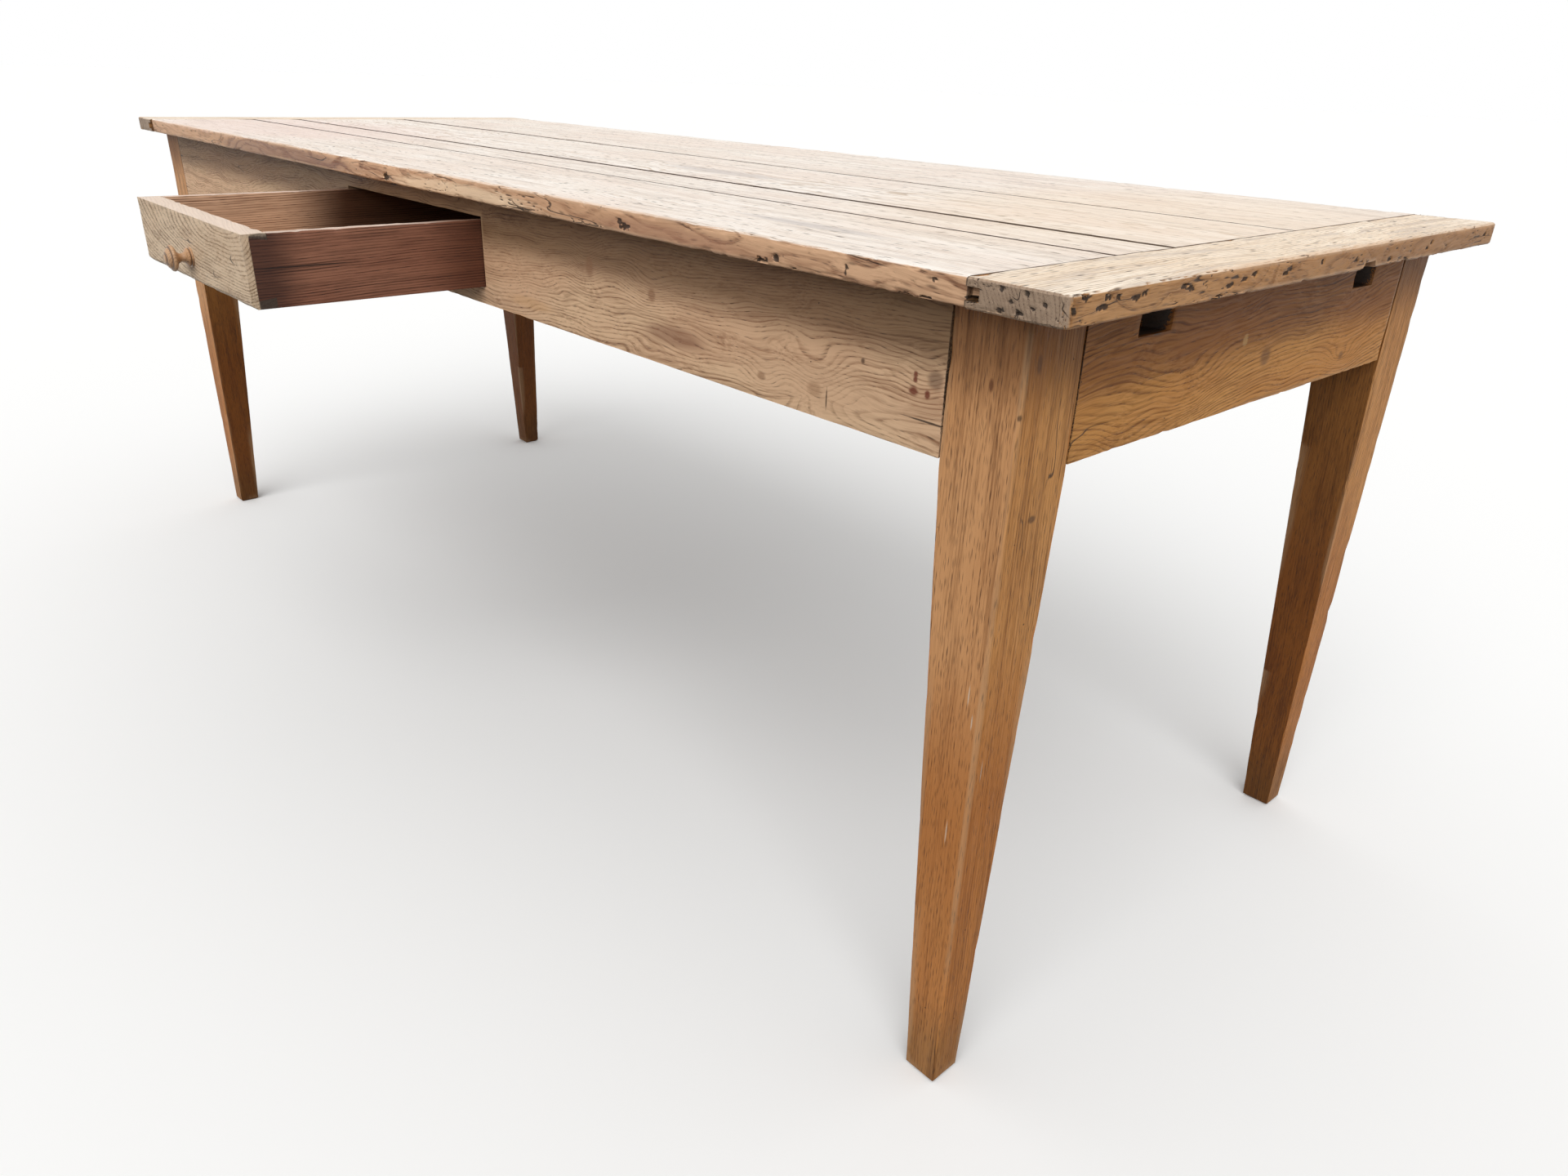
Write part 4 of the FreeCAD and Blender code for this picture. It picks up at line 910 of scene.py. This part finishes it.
def make_drawer():
    """The drawer's front and sides, worn along their top edges."""
    node = "drawer_front"
    low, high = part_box(node)
    material = drawer_front_oak("worn_oak_drawer_front", {-1: low.x / MM, 1: high.x / MM})
    slices = {
        X: spread(low.x, high.x, 10 * MM),
        Y: [low.y + EDGE_STRIP, high.y - EDGE_STRIP],
        Z: [low.z + EDGE_STRIP, *spread(low.z, high.z, 15 * MM), high.z - EDGE_STRIP],
    }

    def wanted(spot, front=low.y, top=high.z):
        return close_to(spot.y, front, BROKEN_FRONT) or close_to(spot.z, top)

    worn_board(node, DRAWER, material, slices, [(wanted, DRAWER_EASE)], depth=2.2 * MM,
               patch=35 * MM, seed=21.5)
    middle = (low.x + high.x) / 2 / MM
    for number, name in enumerate(("left", "right")):
        node = f"drawer_side_{name}"
        low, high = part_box(node)
        log = (50 + 300 * number, low.x / MM, 420)
        material = drawer_side_oak(f"dark_oak_drawer_side_{name}", log, middle)
        slices = {
            Y: spread(low.y, high.y, 6 * MM),
            X: spread(low.x, high.x, 4 * MM),
            Z: [low.z + EDGE_STRIP, *spread(low.z, high.z, 18 * MM), high.z - 5 * MM],
        }

        def at_top(spot, top=high.z):
            return close_to(spot.z, top)

        worn_board(node, DRAWER, material, slices, [(at_top, FRAME_EASE)], depth=2.4 * MM,
                   patch=22 * MM, seed=number + 31.5)


# Turned outline of the knob, from the end of its spigot outwards: distance from the drawer's face and
# radius, in millimetres
KNOB_OUTLINE = [
    (-26, 6.5), (0, 6.5), (0, 10.5), (1.2, 10.5), (1.9, 9.8), (2.3, 9.3), (2.8, 9.6), (3.5, 10.2),
    (4.6, 10.2), (5.4, 9.4), (6.0, 7.6), (6.8, 6.2), (8.4, 5.1), (10.4, 4.6), (12.4, 4.9), (14.2, 6.1),
    (15.8, 8.6), (16.8, 11.2), (17.6, 13.0), (18.6, 14.1), (19.8, 14.5), (21.0, 14.2), (22.0, 13.3),
    (22.5, 12.3), (22.6, 11.7), (23.4, 11.3), (24.8, 10.0), (26.0, 8.0), (26.8, 6.0), (26.9, 5.3),
    (27.5, 4.7), (27.9, 3.2), (28.0, 1.6),
]
KNOB_GROOVES = (2.3, 22.5, 26.9)
KNOB_SIDES = 48


def make_knob():
    """The turned knob, drawn out ring by ring along its outline."""
    node = "drawer_knob"
    low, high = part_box(node)
    centre = (low + high) / 2
    material = turned_fruitwood("turned_fruitwood_knob", centre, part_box("drawer_front")[0].y)
    bpy.ops.object.select_all(action="DESELECT")
    reach, radius = KNOB_OUTLINE[0]
    bpy.ops.mesh.primitive_circle_add(vertices=KNOB_SIDES, radius=radius * MM, fill_type="NGON",
                                      location=(centre.x, high.y, centre.z), rotation=(math.pi / 2, 0, 0))
    piece = bpy.context.active_object
    piece.name = "drawer_knob_turned"
    bpy.ops.object.transform_apply(location=True, rotation=True, scale=True)
    bpy.ops.object.mode_set(mode="EDIT")
    bpy.ops.mesh.select_mode(type="VERT")
    bpy.ops.mesh.select_all(action="SELECT")
    for next_reach, next_radius in KNOB_OUTLINE[1:]:
        bpy.ops.mesh.extrude_region_move(TRANSFORM_OT_translate={"value": (0, (reach - next_reach) * MM, 0)})
        grow = next_radius / radius
        bpy.ops.transform.resize(value=(grow, 1, grow), center_override=(centre.x, high.y, centre.z))
        reach, radius = next_reach, next_radius
    bpy.ops.mesh.select_all(action="SELECT")
    bpy.ops.mesh.normals_make_consistent(inside=False)
    bpy.ops.object.mode_set(mode="OBJECT")
    finish_piece(piece, node, DRAWER, material)


def dress_hidden():
    """Plain oak for the pieces inside the frame, and iron for what holds them."""
    along = {"drawer_back": X, "drawer_floor": X}
    for part in frame["record"]["subparts"]:
        node, slot = part["node"], part["material_slot"]
        shown = frame["nodes"][node]
        if shown.hide_render:
            continue
        if slot == "iron":
            material = rusted_iron(f"rusted_iron_{node}")
        else:
            # The drawer's back and floor darken where they run under the top: painted shade
            zones = [(Y, *UNDER_TOP, UNDER_TOP_SHADE, 1)] if node in along else ()
            material = waxed_oak(f"sawn_oak_{node}", along.get(node, Y), (130, 80, 60), (0.02, 0.01), HIDDEN,
                                 zones=zones)
        shown.data.materials.clear()
        shown.data.materials.append(material)


planks_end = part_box("breadboard_right")[0].x
make_planks(planks_end)
make_breadboards(planks_end)
make_long_rails()
make_end_rails()
make_legs()
make_drawer()
make_knob()
dress_hidden()

# Floor, light and camera

SKY_LEVEL, HORIZON_LEVEL, KEY_LEVEL = 0.9, 0.3, 0.55
KEY_WIDTH = math.radians(60)
KEY_TURN, KEY_HEIGHT = math.radians(35), math.radians(40)
KEY_DISTANCE, FLOOR_SIZE, NEAREST = 4, 120, 0.05


def seen(tree):
    """Where a ray comes from the camera, a reflection or a clear body, which meet the white studio."""
    path = add(tree, "LightPath")
    part = add(tree, "Math", {0: path["Is Camera Ray"], 1: path["Is Glossy Ray"]}, operation="MAXIMUM")[0]
    return add(tree, "Math", {0: part, 1: path["Is Transmission Ray"]}, operation="MAXIMUM")[0]


bpy.ops.object.select_all(action="DESELECT")
bpy.ops.mesh.primitive_plane_add(size=FLOOR_SIZE, location=(0, 0, cad_low.z))
floor = bpy.context.active_object
floor.name = "pale_floor"
material, tree = start_material("pale_studio_floor")
colour = add(tree, "Mix", {0: seen(tree), 6: linear("#5E5A54"), 7: linear("#FAFAF9")}, data_type="RGBA")[2]
surface = add(tree, "BsdfDiffuse", {"Color": colour})[0]
add(tree, "OutputMaterial", {"Surface": surface})
floor.data.materials.append(material)

world = bpy.data.worlds.new("soft_sky")
bpy.context.scene.world = world
world.use_nodes = True
world.node_tree.nodes.clear()
direction = add(world.node_tree, "TexCoord")["Generated"]
height = add(world.node_tree, "SeparateXYZ", {0: direction})[Z]
level = add(world.node_tree, "MapRange", {0: height, 3: HORIZON_LEVEL, 4: SKY_LEVEL})[0]
level = add(world.node_tree, "MapRange", {0: seen(world.node_tree), 3: level, 4: 1})[0]
sky = add(world.node_tree, "Background", {"Color": linear("#FFFFFF"), "Strength": level})[0]
add(world.node_tree, "OutputWorld", {"Surface": sky})

# A wide soft lamp, high in front of the drawer and towards the near end
towards_key = Vector((math.sin(KEY_TURN) * math.cos(KEY_HEIGHT), -math.cos(KEY_TURN) * math.cos(KEY_HEIGHT),
                      math.sin(KEY_HEIGHT)))
bpy.ops.object.light_add(type="SUN", location=towards_key * KEY_DISTANCE)
key = bpy.context.active_object
key.name = "wide_softlight"
key.rotation_euler = towards_key.to_track_quat("Z", "Y").to_euler()
key.data.angle = KEY_WIDTH
key.data.energy = math.pi * KEY_LEVEL

# The photograph's place and angles, worked out from the table's straight edges
YAW, PITCH, ROLL = math.radians(46.957), math.radians(-25.455), math.radians(2.182)
VIEWPOINT = Vector((1.43154, -0.98908, 0.11956))
FOCAL_PIXELS, IMAGE_WIDTH, SENSOR_WIDTH = 1328.3, 1920, 36.0
ahead = Vector((-math.sin(YAW) * math.cos(PITCH), math.cos(YAW) * math.cos(PITCH), math.sin(PITCH)))
side = ahead.cross(Vector((0, 0, 1))).normalized()
upward = side.cross(ahead)
right = side * math.cos(ROLL) + upward * math.sin(ROLL)
up = upward * math.cos(ROLL) - side * math.sin(ROLL)
bpy.ops.object.camera_add(location=VIEWPOINT)
camera = bpy.context.active_object
camera.rotation_euler = Matrix((right, up, -ahead)).transposed().to_euler()
camera.data.sensor_width = SENSOR_WIDTH
camera.data.lens = FOCAL_PIXELS / IMAGE_WIDTH * SENSOR_WIDTH
camera.data.clip_start = NEAREST
bpy.context.scene.camera = camera
bpy.context.scene.view_settings.view_transform = "Standard"
